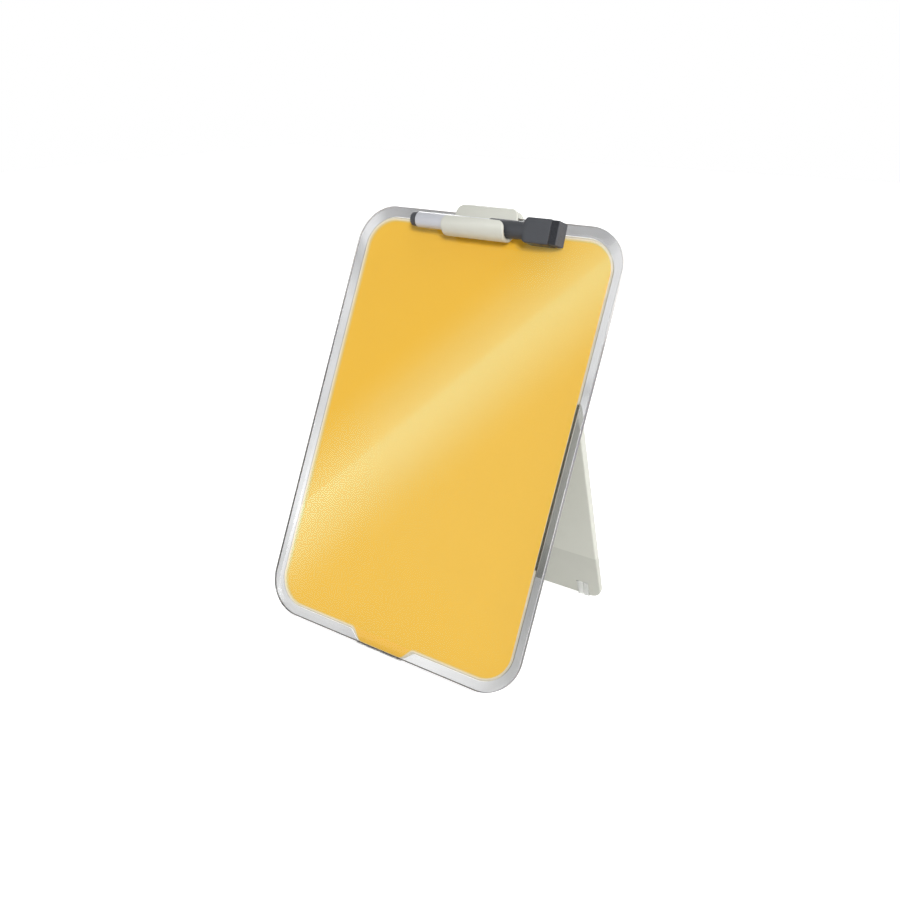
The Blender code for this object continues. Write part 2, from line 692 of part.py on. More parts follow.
def holder_half_width(depth, height):
    """The holder is narrower towards its top and towards the top of its front lip."""
    half = HOLDER_HALF_WIDTH
    rise = height - (HOLDER_TOP - HOLDER_TOP_RADIUS)
    radius = HOLDER_TOP_RADIUS
    if depth < PEN_DEPTH:
        rise = height - (GLASS_HEIGHT - HOLDER_LIP_DROP - HOLDER_LIP_RADIUS)
        radius = HOLDER_LIP_RADIUS
    rise = min(max(rise, 0), radius)
    return half - radius + sqrt(radius * radius - rise * rise)


def round_the_ends(path, thickness):
    """Places along a strip with their thickness, which falls off round both ends."""
    radius = thickness / 2
    points = [Vector(point) for point in path]
    ends = []
    for end, inner in (points[:2], points[:-3:-1]):
        along = (inner - end).normalized() * radius
        ends.append([(end + along * share, thickness * sqrt(share * (2 - share)))
                     for share in HOLDER_END_SHARES])
    middle = [(point, thickness) for point in points
              if min((point - points[0]).length, (point - points[-1]).length) > radius]
    return ends[0] + middle + ends[1][::-1]


def strip_rings(path, thickness, chamfer, half_width):
    """Rings for a bent strip with chamfered edges, one at each place along it."""
    places = round_the_ends(path, thickness)
    rings = []
    last = len(places) - 1
    for i, (centre, wall) in enumerate(places):
        along = (places[min(i + 1, last)][0] - places[max(i - 1, 0)][0]).normalized()
        normal = Vector((-along.y, along.x))
        bite = min(chamfer, wall / 4)
        ring = []
        for side in (1, -1):
            face = centre + normal * (side * wall / 2)
            edge = centre + normal * (side * (wall / 2 - bite))
            half = half_width(face.x, face.y)
            points = [(-half, edge), (bite - half, face), (half - bite, face), (half, edge)]
            ring += [(x, point.x, point.y) for x, point in points[::side]]
        rings.append(ring)
    return rings


def end_wall_outline(side):
    """A wall that closes one end of the holder above the glass and follows its rounded top."""
    low, high = GLASS_HEIGHT + SEAT_GAP, HOLDER_TOP - HOLDER_WALL + HOLDER_WALL_LAP
    outer = []
    for i in range(HOLDER_ARC_STEPS + 1):
        height = low + (high - low) * i / HOLDER_ARC_STEPS
        outer.append((holder_half_width(0, height) - HOLDER_END_INSET, height))
    inner = [(half - HOLDER_END_WALL, height) for half, height in reversed(outer)]
    return [(side * half, height) for half, height in outer + inner]


def build_holder(materials, board):
    rings = strip_rings(holder_path(), HOLDER_WALL, HOLDER_EDGE_CHAMFER, holder_half_width)
    holder = skin("pen_holder", rings, materials["shell"], board)
    front = -SEAT_GAP - HOLDER_WALL / 2
    back = HOLDER_LEG_FRONT + HOLDER_WALL / 2
    middle = (-HOLDER_RIB_WIDTH / 2, HOLDER_RIB_WIDTH / 2)
    ribs = [box_rings(middle, (front, back), (GLASS_HEIGHT + SEAT_GAP, HOLDER_TOP - HOLDER_WALL / 2))]
    for side in (-1, 1):
        outline = end_wall_outline(side)
        ribs.append([at_depth(outline, front), at_depth(outline, back)])
    cut(holder, "holder_rib_join", ribs, board, "UNION")
    return holder


def build_grip_pad(materials, board):
    top = GLASS_HEIGHT - GRIP_TOP_INSET
    bottom = GLASS_HEIGHT - PRINT_TOP_MARGIN + CARRIER_OVERHANG + GRIP_BOTTOM_GAP
    outline = rounded_outline(GRIP_WIDTH / 2, bottom, top, GRIP_END_RADIUS)
    rings = [at_depth(outline, GLASS_THICKNESS + SEAT_GAP),
             at_depth(outline, HOLDER_LEG_FRONT - SEAT_GAP)]
    return skin("holder_grip_pad", rings, materials["grip"], board)


def turned(profile, facets=PEN_FACETS):
    """Rings for a shape turned about X, from places along it and their radii."""
    return [across(circle(radius, facets), x) for x, radius in profile]


def build_barrel(materials, pen):
    profile = [
        (BARREL_LEFT, BARREL_RADIUS - PLUG_TAPER / 2),
        (BARREL_LEFT + PLUG_TAPER, BARREL_RADIUS),
        (CAP_MOUTH - SEAT_GAP, BARREL_RADIUS),
        (CAP_MOUTH - SEAT_GAP, NECK_RADIUS),
        (BARREL_RIGHT, NECK_RADIUS),
        (BARREL_RIGHT, NECK_BORE),
        (CAP_MOUTH - SEAT_GAP, NECK_BORE),
        (BARREL_LEFT, NECK_BORE),
    ]
    return skin("marker_barrel", turned(profile), materials["barrel"], pen, closed=True)


def build_end_plug(materials, pen):
    profile = [
        (PEN_LEFT_END, BARREL_RADIUS - 2 * PLUG_TAPER),
        (PEN_LEFT_END + PLUG_TAPER, BARREL_RADIUS - PLUG_TAPER),
        (BARREL_LEFT - SEAT_GAP, BARREL_RADIUS - PLUG_TAPER / 2),
        (BARREL_LEFT - SEAT_GAP, NECK_BORE - RUN_CLEARANCE),
        (BARREL_LEFT + PLUG_SPIGOT, NECK_BORE - RUN_CLEARANCE),
    ]
    return skin("marker_end_plug", turned(profile), materials["cap"], pen)


def build_section(materials, pen):
    bore = NIB_RADIUS + RUN_CLEARANCE
    flange = NECK_RADIUS - SECTION_FLANGE_STEP
    left = BARREL_RIGHT - SECTION_SPIGOT
    profile = [
        (left, NECK_BORE - RUN_CLEARANCE),
        (BARREL_RIGHT + SEAT_GAP, NECK_BORE - RUN_CLEARANCE),
        (BARREL_RIGHT + SEAT_GAP, flange),
        (BARREL_RIGHT + SECTION_SHOULDER, flange),
        (SECTION_RIGHT, SECTION_TIP_RADIUS),
        (SECTION_RIGHT, bore),
        (left, bore),
    ]
    return skin("marker_section", turned(profile), materials["section"], pen, closed=True)


def build_nib(materials, pen):
    left = NIB_RIGHT - NIB_LENGTH
    profile = [(left, NIB_RADIUS), (NIB_RIGHT - NIB_POINT, NIB_RADIUS)]
    for i in range(1, NIB_STEPS):
        angle = pi / 2 * i / NIB_STEPS
        profile.append((NIB_RIGHT - NIB_POINT * (1 - sin(angle)), NIB_RADIUS * cos(angle)))
    return skin("marker_nib", turned(profile, NIB_FACETS), materials["fibre"], pen)


def build_reservoir(materials, pen):
    left = BARREL_LEFT + PLUG_SPIGOT + RESERVOIR_END_GAP
    right = min(BARREL_RIGHT - SECTION_SPIGOT, NIB_RIGHT - NIB_LENGTH) - SEAT_GAP
    profile = [(left, RESERVOIR_RADIUS), (right, RESERVOIR_RADIUS)]
    return skin("marker_reservoir", turned(profile), materials["fibre"], pen)


def block_angles():
    """Even steps round the axis, plus the exact angles of the block's corners."""
    step = 2 * pi / PEN_FACETS
    corners = []
    for a, b in ((BLOCK_HALF_DEPTH, BLOCK_HALF_HEIGHT - BLOCK_CHAMFER),
                 (BLOCK_HALF_DEPTH - BLOCK_CHAMFER, BLOCK_HALF_HEIGHT)):
        first = atan2(b, a)
        corners += [first, pi - first, pi + first, 2 * pi - first]
    near_share = 0.3
    kept = [step * i for i in range(PEN_FACETS)
            if all(abs(step * i - corner) > near_share * step for corner in corners)]
    return sorted(kept + corners)


def block_radius(angle, shrink):
    """Distance from the axis to a rectangle with chamfered corners, drawn in by shrink."""
    depth = BLOCK_HALF_DEPTH - shrink
    height = BLOCK_HALF_HEIGHT - shrink
    diagonal = depth + height - BLOCK_CHAMFER + shrink * (2 - sqrt(2))
    across_side = abs(cos(angle))
    up_side = abs(sin(angle))
    limits = [diagonal / (across_side + up_side)]
    if across_side > 0:
        limits.append(depth / across_side)
    if up_side > 0:
        limits.append(height / up_side)
    return min(limits)


def cap_ring(x, radius, block_share=0.0, shrink=0.0):
    """A ring of the cap, blended from a circle into the block's outline."""
    ring = []
    for angle in block_angles():
        reach = radius + (block_radius(angle, shrink) - radius) * block_share
        ring.append((x, reach * cos(angle), reach * sin(angle)))
    return ring


def build_cap(materials, pen):
    bore = NECK_RADIUS + CAP_BORE_CLEARANCE
    inner = bore - CAP_BORE_STEP
    rings = [
        cap_ring(CAP_BORE_END, inner),
        cap_ring(SECTION_RIGHT, inner),
        cap_ring(SECTION_RIGHT, bore),
        cap_ring(CAP_MOUTH, bore),
        cap_ring(CAP_MOUTH, CAP_RADIUS - CAP_MOUTH_CHAMFER),
        cap_ring(CAP_MOUTH + CAP_MOUTH_CHAMFER, CAP_RADIUS),
        cap_ring(CAP_FLARE_START, CAP_RADIUS),
    ]
    for share in CAP_FLARE_SHARES:
        ease = sin(pi / 2 * share)
        rings.append(cap_ring(CAP_FLARE_START + CAP_FLARE_LENGTH * share, CAP_RADIUS, ease))
    pocket = FELT_RIM
    rings += [
        cap_ring(CAP_END - BLOCK_END_CHAMFER, CAP_RADIUS, 1.0),
        cap_ring(CAP_END, CAP_RADIUS, 1.0, BLOCK_END_CHAMFER),
        cap_ring(CAP_END, CAP_RADIUS, 1.0, pocket),
        cap_ring(CAP_END - FELT_POCKET_DEPTH, CAP_RADIUS, 1.0, pocket),
    ]
    return skin("cap_shell", rings, materials["cap"], pen)


def build_cap_seal(materials, pen):
    """A thin cup at the end of the cap's bore that closes round the nib."""
    outer = NECK_RADIUS + CAP_BORE_CLEARANCE - CAP_BORE_STEP - RUN_CLEARANCE
    end = CAP_BORE_END - SEAT_GAP
    floor = NIB_RIGHT + SEAL_TIP_GAP
    inner = outer - SEAL_WALL
    profile = [(floor, inner), (SECTION_RIGHT + SEAT_GAP, inner),
               (SECTION_RIGHT + SEAT_GAP, outer), (end, outer)]
    return skin("cap_inner_seal", turned(profile), materials["section"], pen)


def build_felt(materials, pen):
    root = FELT_RIM + RUN_CLEARANCE
    start = CAP_END - FELT_POCKET_DEPTH + SEAT_GAP
    end = CAP_END + FELT_STANDOUT
    rings = [
        cap_ring(start, CAP_RADIUS, 1.0, root),
        cap_ring(CAP_END + SEAT_GAP, CAP_RADIUS, 1.0, root),
        cap_ring(CAP_END + SEAT_GAP, CAP_RADIUS, 1.0, FELT_FACE_INSET),
        cap_ring(end - FELT_END_CHAMFER, CAP_RADIUS, 1.0, FELT_FACE_INSET),
        cap_ring(end, CAP_RADIUS, 1.0, FELT_FACE_INSET + FELT_END_CHAMFER),
    ]
    return skin("eraser_felt", rings, materials["felt"], pen)


def centre_on_floor(root):
    """Move the whole object so that its box stands centred over the origin."""
    bpy.context.view_layer.update()
    graph = bpy.context.evaluated_depsgraph_get()
    low = Vector((float("inf"),) * 3)
    high = -low
    for item in bpy.context.scene.objects:
        if item.type != "MESH" or item.hide_render:
            continue
        shape = item.evaluated_get(graph)
        for vertex in shape.data.vertices:
            point = shape.matrix_world @ vertex.co
            low = Vector(map(min, low, point))
            high = Vector(map(max, high, point))
    root.location = (-(low.x + high.x) / 2, -(low.y + high.y) / 2, -low.z)
    bpy.context.view_layer.update()


def build():
    clear_scene()
    materials = make_materials()
    root = empty("whiteboard_origin")
    board = empty("board_frame", root, (0, 0, EDGE_HEIGHT), -BOARD_TILT)
    hinge = empty("stand_hinge", board, (0, HINGE_DEPTH, HINGE_HEIGHT), STAND_ANGLE)
    pen = empty("pen_axis", board, (0, PEN_DEPTH, PEN_HEIGHT), PEN_TURN)
    build_glass(materials, board)
    build_film(materials, board)
    build_carrier(materials, board)
    build_foam(materials, board)
    build_cover(materials, board)
    build_pins(materials, board)
    build_leaf(materials, hinge)
    build_feet(materials, hinge)
    build_foot_pad(materials, board)
    build_holder(materials, board)
    build_grip_pad(materials, board)
    build_barrel(materials, pen)
    build_end_plug(materials, pen)
    build_section(materials, pen)
    build_nib(materials, pen)
    build_reservoir(materials, pen)
    build_cap(materials, pen)
    build_cap_seal(materials, pen)
    build_felt(materials, pen)
    centre_on_floor(root)


build()
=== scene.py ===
"""Looks for the desktop glass whiteboard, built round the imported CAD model.

Metres, in the frame of the CAD model: +X is the board's right seen from the front, +Y points
back and +Z up. Board pieces are drawn in the board's own frame (X across, Y behind the writing
face, Z up along the glass), stand pieces in the leaf's frame, whose origin is the hinge axis,
and marker pieces in the board's frame, moved to the marker's axis and turned with the marker.
"""

import json
from math import asin, cos, pi, radians, sin, sqrt

import bmesh
import bpy
from mathutils import Matrix, Vector, noise

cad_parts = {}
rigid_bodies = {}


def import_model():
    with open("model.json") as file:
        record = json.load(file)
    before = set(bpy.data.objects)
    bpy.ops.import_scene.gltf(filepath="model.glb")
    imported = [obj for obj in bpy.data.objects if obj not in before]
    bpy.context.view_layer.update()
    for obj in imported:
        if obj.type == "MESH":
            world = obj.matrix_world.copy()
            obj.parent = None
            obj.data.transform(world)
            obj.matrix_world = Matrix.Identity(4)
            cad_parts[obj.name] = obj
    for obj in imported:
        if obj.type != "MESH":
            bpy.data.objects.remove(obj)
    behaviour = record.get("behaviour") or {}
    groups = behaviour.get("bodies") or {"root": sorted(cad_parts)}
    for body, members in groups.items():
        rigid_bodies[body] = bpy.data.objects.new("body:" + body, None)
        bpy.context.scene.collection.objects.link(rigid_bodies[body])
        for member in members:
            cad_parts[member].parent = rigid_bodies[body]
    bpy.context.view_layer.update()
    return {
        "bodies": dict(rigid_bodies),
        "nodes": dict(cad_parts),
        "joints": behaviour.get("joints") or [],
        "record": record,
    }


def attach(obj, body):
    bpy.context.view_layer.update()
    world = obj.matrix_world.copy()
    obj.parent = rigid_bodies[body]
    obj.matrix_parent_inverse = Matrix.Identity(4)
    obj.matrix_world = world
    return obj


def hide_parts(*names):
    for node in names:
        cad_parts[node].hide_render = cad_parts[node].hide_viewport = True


# Camera, fitted to the straight edges in the photograph
IMAGE_SIDE_PX = 900
CAMERA_AZIMUTH = radians(34.58)
CAMERA_ELEVATION = radians(23.37)
CAMERA_DISTANCE = 0.64109
CAMERA_TARGET = (0.00328, 0, 0.11765)
FOCAL_LENGTH_PX = 920.6
PRINCIPAL_POINT_PX = (444.5, 460.5)
SENSOR_WIDTH_MM = 36.0
CLIP_RANGE = (0.01, 50)

# Shapes
SHARP_ANGLE = 32
ROUND_STEPS = 32
TURN_FACETS = 96
MESH_GAP = 0.0003
EDGE_EASE = 0.0003
EDGE_SEGMENTS = 3
EDGE_ANGLE = radians(40)
WELD_GAP = 0.00001

BEVEL_WIDTH = 0.0060
BEVEL_DROP = 0.0005
GLASS_ARRIS = 0.0004
GLASS_CORNER_RADIUS = 0.0275
ARRIS_STEPS = 5

PRINT_CORNER_RADIUS = 0.0213
PRINT_THICKNESS = 0.00025
PRINT_BOND = 0.00002
TAB_TOP_HALF_WIDTH = 0.0270
TAB_BOTTOM_HALF_WIDTH = 0.0165
TAB_STEPS = 16
PRINT_FADE = {"left": 0.0045, "right": 0.0003, "top": 0.0027, "bottom": 0.0021, "tab": 0.0004}
PRINT_FADE_COLOURS = ((0.0, (0.78, 0.72, 0.60)), (0.2, (0.76, 0.66, 0.46)), (0.45, (0.72, 0.56, 0.26)),
                      (0.7, (0.73, 0.48, 0.11)), (0.9, (0.78, 0.462, 0.052)), (1.0, (0.81, 0.466, 0.042)))
EDGE_LAND = 0.0002
# Painted shade in dark brown: at the front of the foam strips and on the cream sheet's rim over them
FOAM_SHADE_DEPTH = 0.0004
FOAM_BLEND = 0.0003
FOAM_SHADE_BROWN = (0.060, 0.036, 0.004)

MOULDED_EDGE = 0.0003
MOULDED_GRAIN = 0.000012
CREASE_HEIGHT = 0.0440
CREASE_BLEND = 0.0004
CREASE_SHADE = 0.86
PIN_EDGE = 0.00015

FOOT_PROUD = 0.0009
FOOT_RIDGES = 2
FOOT_STEPS = 32
FOOT_TOP_STEPS = 8
FOOT_TOP_SHARE = 0.2

HOLDER_WALL = 0.0024
HOLDER_TOP_RADIUS = 0.0075
HOLDER_LIP_DROP = 0.0073
HOLDER_LIP_RADIUS = 0.0055
HOLDER_BEND_RADIUS = 0.0012
HOLDER_EDGE_RADIUS = 0.0009
HOLDER_EDGE_SHARE = 0.45
HOLDER_EDGE_STEPS = 4
HOLDER_ARC_STEPS = 14
HOLDER_CURL_STEPS = 48
HOLDER_BEND_STEPS = 10
HOLDER_END_SHARES = (0.02, 0.12, 0.3, 0.6, 1.0)
HOLDER_RIB_WIDTH = 0.0020
HOLDER_END_WALL = 0.0020
HOLDER_END_INSET = 0.0005
HOLDER_WALL_LAP = 0.0003
HOLDER_LEG_DROP = 0.0194
PEN_CLEARANCE = 0.0005
PEN_TURN = radians(6.5)

BARREL_RADIUS = 0.0053
PLUG_TAPER = 0.0006
PLUG_FACE_STEP = 0.00156
PLUG_SPIGOT = 0.0060
NECK_STEP = 0.0005
NECK_WALL = 0.00055
SECTION_FLANGE_STEP = 0.0003
SECTION_SHOULDER = 0.0025
SECTION_TIP_RADIUS = 0.0027
NIB_RADIUS = 0.0016
NIB_POINT = 0.0016
NIB_TIP_SHARE = 0.08
RUN_CLEARANCE = 0.00015

CAP_RADIUS = 0.0059
CAP_ROUND_LENGTH = 0.0262
CAP_FLARE_LENGTH = 0.0046
BLOCK_HALF_DEPTH = 0.0065
BLOCK_HALF_HEIGHT = 0.0081
BLOCK_CHAMFER = 0.0009
BLOCK_CORNER_STEPS = 6
BLOCK_FACE_STEPS = 12
BLOCK_END_CHAMFER = 0.0005
CAP_BORE_CLEARANCE = 0.0002
CAP_MOUTH_CHAMFER = 0.0004
CAP_BORE_STEP = 0.0012
FLARE_STEPS = 8
FELT_RIM = 0.0013
FELT_POCKET_DEPTH = 0.0050
FELT_FACE_INSET = 0.0004
FELT_END_CHAMFER = 0.0005
FELT_FUZZ = 0.00009
FELT_FUZZ_SCALE = 1600
FELT_STEPS = 12

# The glass plate's material slots, after the clear front's
ARRIS, SIDE, MARGIN, BEVEL = 1, 2, 3, 4

# Colours, and the part of a noise field's range that carries its tones
NOISE_RANGE = (0.3, 0.7)
CLEAR_SHADOW = (0.96, 0.96, 0.96, 1)
LIGHT_GREY_TUBE = (0.525, 0.535, 0.575)
CREAM = (0.66, 0.59, 0.45)
FOAM_BACK = (0.80, 0.75, 0.62)
SHELL_WHITE = (0.56, 0.563, 0.505)
SLATE_GREY = (0.050, 0.053, 0.060)
INNER_WHITE = (0.78, 0.78, 0.76)
PAD_GREY = (0.80, 0.80, 0.80)
FOOT_WHITE = (0.87, 0.88, 0.85)
GRIP_GREY = (0.20, 0.20, 0.20)
INK_DARK = (0.035, 0.035, 0.042)
FELT_TONES = ((0.012, 0.013, 0.016), (0.040, 0.042, 0.048))
# Painted light: lighter tones for the felt's end face, where it catches the light
LIT_END_FELT_TONES = ((0.050, 0.053, 0.062), (0.092, 0.096, 0.108))

# Painted reflection and shade on the clear margin: its tone stands for what it mirrors and stays where it
# is in any light. Set until the render had the photograph's levels along it. Once round from the middle
# of its bottom edge over left, top and right
MARGIN_PAINTED_TINT = (0.985, 1.0, 1.03)
MARGIN_PAINTED_TONES = ((0.0, 0.66), (0.06, 0.70), (0.13, 0.69), (0.145, 0.68), (0.165, 0.82), (0.22, 0.71),
                (0.248, 0.63), (0.28, 0.65), (0.303, 0.62), (0.33, 0.68), (0.352, 0.47), (0.359, 0.52),
                (0.365, 0.74), (0.376, 0.70), (0.385, 0.42), (0.42, 0.28), (0.60, 0.38), (0.624, 0.37),
                (0.631, 0.66), (0.67, 0.62), (0.688, 0.60), (0.699, 0.46), (0.712, 0.62), (0.725, 0.78),
                (0.742, 0.74), (0.76, 0.60), (0.80, 0.56), (0.822, 0.37), (0.84, 0.36), (0.87, 0.48),
                (0.895, 0.74), (0.94, 0.94))
SURROUND_LEVEL = 1.24
GLASS_SMUDGE = 0.003

# Tint of what the glass mirrors, over the print and round it, set in the same way. White is plain glass
PRINT_SHEEN = (0.12, 0.62, 0.55)
BEVEL_SHEEN = (0.6, 0.6, 0.6)
SHEEN_INSET = {"left": 0.0110, "right": 0.0075, "top": 0.0100, "bottom": 0.0092}
SHEEN_CORNER_RADIUS = 0.0190

# Tones of the ground edge, set in the same way: painted light and shade, along a slanting line for the
# arrises and with height for the side
ARRIS_DIRECTION = (0.8, 0.0, 0.6)
ARRIS_RANGE = (-0.08, 0.26)
ARRIS_TONES = ((0.0, (0.012, 0.012, 0.014)), (0.25, (0.05, 0.05, 0.055)), (0.45, (0.12, 0.12, 0.13)),
               (0.50, (0.30, 0.30, 0.32)), (0.53, (0.48, 0.48, 0.50)), (0.60, (0.42, 0.42, 0.44)),
               (0.67, (0.55, 0.55, 0.56)), (0.74, (0.42, 0.42, 0.44)), (0.80, (0.30, 0.30, 0.32)),
               (0.86, (0.46, 0.46, 0.47)), (0.92, (0.40, 0.41, 0.41)), (0.97, (0.50, 0.50, 0.50)))
SIDE_RANGE = (0.0, 0.28)
SIDE_TONES = ((0.0, (0.10, 0.10, 0.11)), (0.22, (0.07, 0.075, 0.085)), (0.40, (0.20, 0.20, 0.21)),
              (0.62, (0.13, 0.13, 0.155)), (0.745, (0.21, 0.21, 0.22)), (0.78, (0.50, 0.50, 0.51)),
              (0.90, (0.82, 0.82, 0.83)))

# The photograph shows no mirror image of the marker in the glass
UNMIRRORED_BODIES = ("marker", "cap")

# Light: a soft dome, and distant lights with their strength, where they shine from, and spread
LAMPS = {"front_light": (2.27, (0.52, -0.756, 0.397), radians(12)),
         "side_light": (1.2, (0.93, 0.15, 0.34), radians(20)),
         "back_light": (1.0, (-0.45, 0.87, 0.20), radians(30))}
DOME_FILL = 0.20
DOME_KEY = 0.53
DOME_KEY_DIRECTION = (0.75, 0.0, 0.66)
FLOOR_SIZE = 6.0
FLOOR_DROP = 0.0002
FLOOR_COLOUR = (0.80, 0.80, 0.80, 1)
FLOOR_CAMERA_GLOW = 0.60

# The long reflection across the glass: two points of its sharp edge, and its light
CARD_EDGE_PX = ((360, 457), (590, 271))
CARD_ABOVE_PX = 75
CARD_BELOW_PX = 390
CARD_DISTANCE = 1.2
CARD_LENGTH = 4.0
CARD_LIGHT = 6.8
CARD_SHARES_ABOVE = ((0.0, 0.70), (0.2, 0.54), (0.4, 0.35), (0.6, 0.20), (0.8, 0.08), (1.0, 0.0))
CARD_SHARES_BELOW = ((0.0, 1.0), (0.03, 1.0), (0.077, 0.80), (0.117, 0.64), (0.154, 0.45),
                     (0.19, 0.27), (0.235, 0.19), (0.31, 0.17), (0.78, 0.17), (1.0, 0.0))


# Meshes

def arc(centre, radius, start, stop, steps):
    return [
        (centre[0] + radius * cos(start + (stop - start) * i / steps),
         centre[1] + radius * sin(start + (stop - start) * i / steps))
        for i in range(steps + 1)
    ]


def circle(radius):
    return arc((0, 0), radius, 0, 2 * pi * (TURN_FACETS - 1) / TURN_FACETS, TURN_FACETS - 1)


def quarter_turn(steps=ARRIS_STEPS, first=0):
    return [pi / 2 * i / steps for i in range(first, steps + 1)]


def at_depth(outline, depth):
    return [(x, depth, z) for x, z in outline]


def across(profile, x):
    return [(x, y, z) for y, z in profile]


def turned(profile):
    return [across(circle(radius), x) for x, radius in profile]


def rounded_outline(half_width, bottom, top, radius, bottom_edge=()):
    outline = arc((-half_width + radius, bottom + radius), radius, pi, 1.5 * pi, ROUND_STEPS)
    outline += list(bottom_edge)
    outline += arc((half_width - radius, bottom + radius), radius, 1.5 * pi, 2 * pi, ROUND_STEPS)
    outline += arc((half_width - radius, top - radius), radius, 0, pi / 2, ROUND_STEPS)
    outline += arc((-half_width + radius, top - radius), radius, pi / 2, pi, ROUND_STEPS)
    return outline


def inset_outline(half_width, bottom, top, radius, inset, bottom_edge):
    """A rounded outline drawn in by its own amount at the left, right, top and bottom."""
    lean = (inset["left"] - inset["right"]) / 2
    outline = rounded_outline(half_width - (inset["left"] + inset["right"]) / 2, bottom + inset["bottom"],
                              top - inset["top"], radius, [(x - lean, z) for x, z in bottom_edge])
    return [(x + lean, z) for x, z in outline]


def add_rings(bm, rings, closed=False, slots=None):
    """Skin equal rings, capped at both ends or joined last to first. slots names a material each."""
    loops = [[bm.verts.new(point) for point in ring] for ring in rings]
    pairs = list(zip(loops, loops[1:]))
    if closed:
        pairs.append((loops[-1], loops[0]))
    count = len(loops[0])
    for band, (first, second) in enumerate(pairs):
        for i in range(count):
            j = (i + 1) % count
            face = bm.faces.new((first[i], first[j], second[j], second[i]))
            face.material_index = slots[band] if slots else 0
    if not closed:
        bm.faces.new(loops[0])
        bm.faces.new(loops[-1])


def add_object(name, data):
    item = bpy.data.objects.new(name, data)
    bpy.context.scene.collection.objects.link(item)
    return item


def add_quad(name, corners):
    mesh = bpy.data.meshes.new(name)
    mesh.from_pydata(corners, [], [(0, 1, 2, 3)])
    return add_object(name, mesh)


def mesh_object(name, bm, sharp_angle):
    bmesh.ops.recalc_face_normals(bm, faces=bm.faces)
    mesh = bpy.data.meshes.new(name)
    bm.to_mesh(mesh)
    bm.free()
    mesh.shade_smooth()
    if sharp_angle is not None:
        mesh.set_sharp_from_angle(angle=radians(sharp_angle))
    return add_object(name, mesh)


def place_piece(item, matrix, body, materials, replaced):
    """Draw a new piece in its frame, let it ride on its body and stand for its CAD nodes."""
    for material in materials:
        item.data.materials.append(material)
    item.data.transform(matrix)
    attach(item, body)
    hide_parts(*replaced)


def ring_piece(name, rings, matrix, body, material, replaced, closed=False, sharp_angle=SHARP_ANGLE):
    bm = bmesh.new()
    add_rings(bm, rings, closed)
    item = mesh_object(name, bm, sharp_angle)
    item.visible_glossy = body not in UNMIRRORED_BODIES
    place_piece(item, matrix, body, [material], replaced)


# Frames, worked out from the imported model

def find_joint(frame, name):
    return next(joint for joint in frame["joints"] if joint["name"] == name)


def axes_matrix(x, y, z, origin):
    return Matrix([(x[i], y[i], z[i], origin[i]) for i in range(3)] + [(0, 0, 0, 1)])


def board_frame(frame):
    """The board's own frame: its origin is the middle of the glass's lower front edge."""
    up = Vector(find_joint(frame, "holder_lift")["axis"])
    back = Vector((0, up.z, -up.y))
    points = [vertex.co for vertex in frame["nodes"]["glass_plate"].data.vertices]
    origin = up * min(point.dot(up) for point in points)
    origin += back * min(point.dot(back) for point in points)
    return axes_matrix((1, 0, 0), back, up, origin)


def stand_frame(frame, board):
    """The leaf's frame: its origin is the hinge axis, and Z runs up along the leaf."""
    joint = find_joint(frame, "stand_fold")
    turn = Matrix.Rotation(radians(-joint["range_deg"][0]), 4, "X")
    return Matrix.Translation(Vector(joint["pos_m"])) @ board.to_3x3().to_4x4() @ turn


def box_in(frame, node, matrix):
    """Lowest and highest corner of a CAD node, in one of these frames."""
    inverse = matrix.inverted()
    points = [inverse @ vertex.co for vertex in frame["nodes"][node].data.vertices]
    return (Vector([min(point[i] for point in points) for i in range(3)]),
            Vector([max(point[i] for point in points) for i in range(3)]))


def span_in(frame, node, matrix):
    return [corner.x for corner in box_in(frame, node, matrix)]


def pen_frame(frame, board):
    low, high = box_in(frame, "marker_barrel", board)
    centre = (low + high) / 2
    return board @ Matrix.Translation((0, centre.y, centre.z)) @ Matrix.Rotation(PEN_TURN, 4, "X")


# Materials

def new_material(name):
    material = bpy.data.materials.new(name)
    material.use_nodes = True
    return material, material.node_tree, material.node_tree.nodes["Principled BSDF"]


def set_sockets(shader, **values):
    for name, value in values.items():
        socket = shader.inputs[name.replace("_", " ")]
        socket.default_value = (*value, 1.0) if isinstance(value, tuple) else value


def add_node(tree, kind, inputs=None, **settings):
    """A shader node with its settings. Each input is given a value, or a socket that feeds it."""
    node = tree.nodes.new("ShaderNode" + kind)
    for name, value in settings.items():
        setattr(node, name, value)
    for name, value in (inputs or {}).items():
        if isinstance(value, bpy.types.NodeSocket):
            tree.links.new(value, node.inputs[name])
        else:
            node.inputs[name].default_value = value
    return node


def object_place(tree):
    return add_node(tree, "TexCoord").outputs["Object"]


def coordinate(tree, vector, axis):
    return add_node(tree, "SeparateXYZ", {"Vector": vector}).outputs[axis]


def length_along(tree, vector, direction):
    inputs = {0: vector, 1: direction}
    return add_node(tree, "VectorMath", inputs, operation="DOT_PRODUCT").outputs["Value"]


def calculate(tree, operation, *values):
    return add_node(tree, "Math", dict(enumerate(values)), operation=operation).outputs[0]


def share_between(tree, value, low, high, start=0.0, stop=1.0):
    """How far a value has come from low to high, as a number from start to stop."""
    inputs = {"Value": value, "From Min": low, "From Max": high, "To Min": start, "To Max": stop}
    return add_node(tree, "MapRange", inputs).outputs["Result"]


def blend(tree, factor, first, second, mode="MIX"):
    inputs = {"Factor": factor, "A": first, "B": second}
    return add_node(tree, "Mix", inputs, data_type="RGBA", blend_type=mode).outputs["Result"]


def multiply(tree, first, second):
    return blend(tree, 1.0, first, second, "MULTIPLY")


def end_with(tree, shader, output="Material Output"):
    tree.links.new(shader, tree.nodes[output].inputs["Surface"])


def noise_field(tree, scale, detail=3.0, stretch=(1, 1, 1)):
    """A noise texture in the object's own coordinates, with scale in waves per metre."""
    place = add_node(tree, "Mapping", {"Vector": object_place(tree), "Scale": stretch})
    inputs = {"Vector": place.outputs["Vector"], "Scale": scale, "Detail": detail}
    return add_node(tree, "TexNoise", inputs).outputs["Fac"]


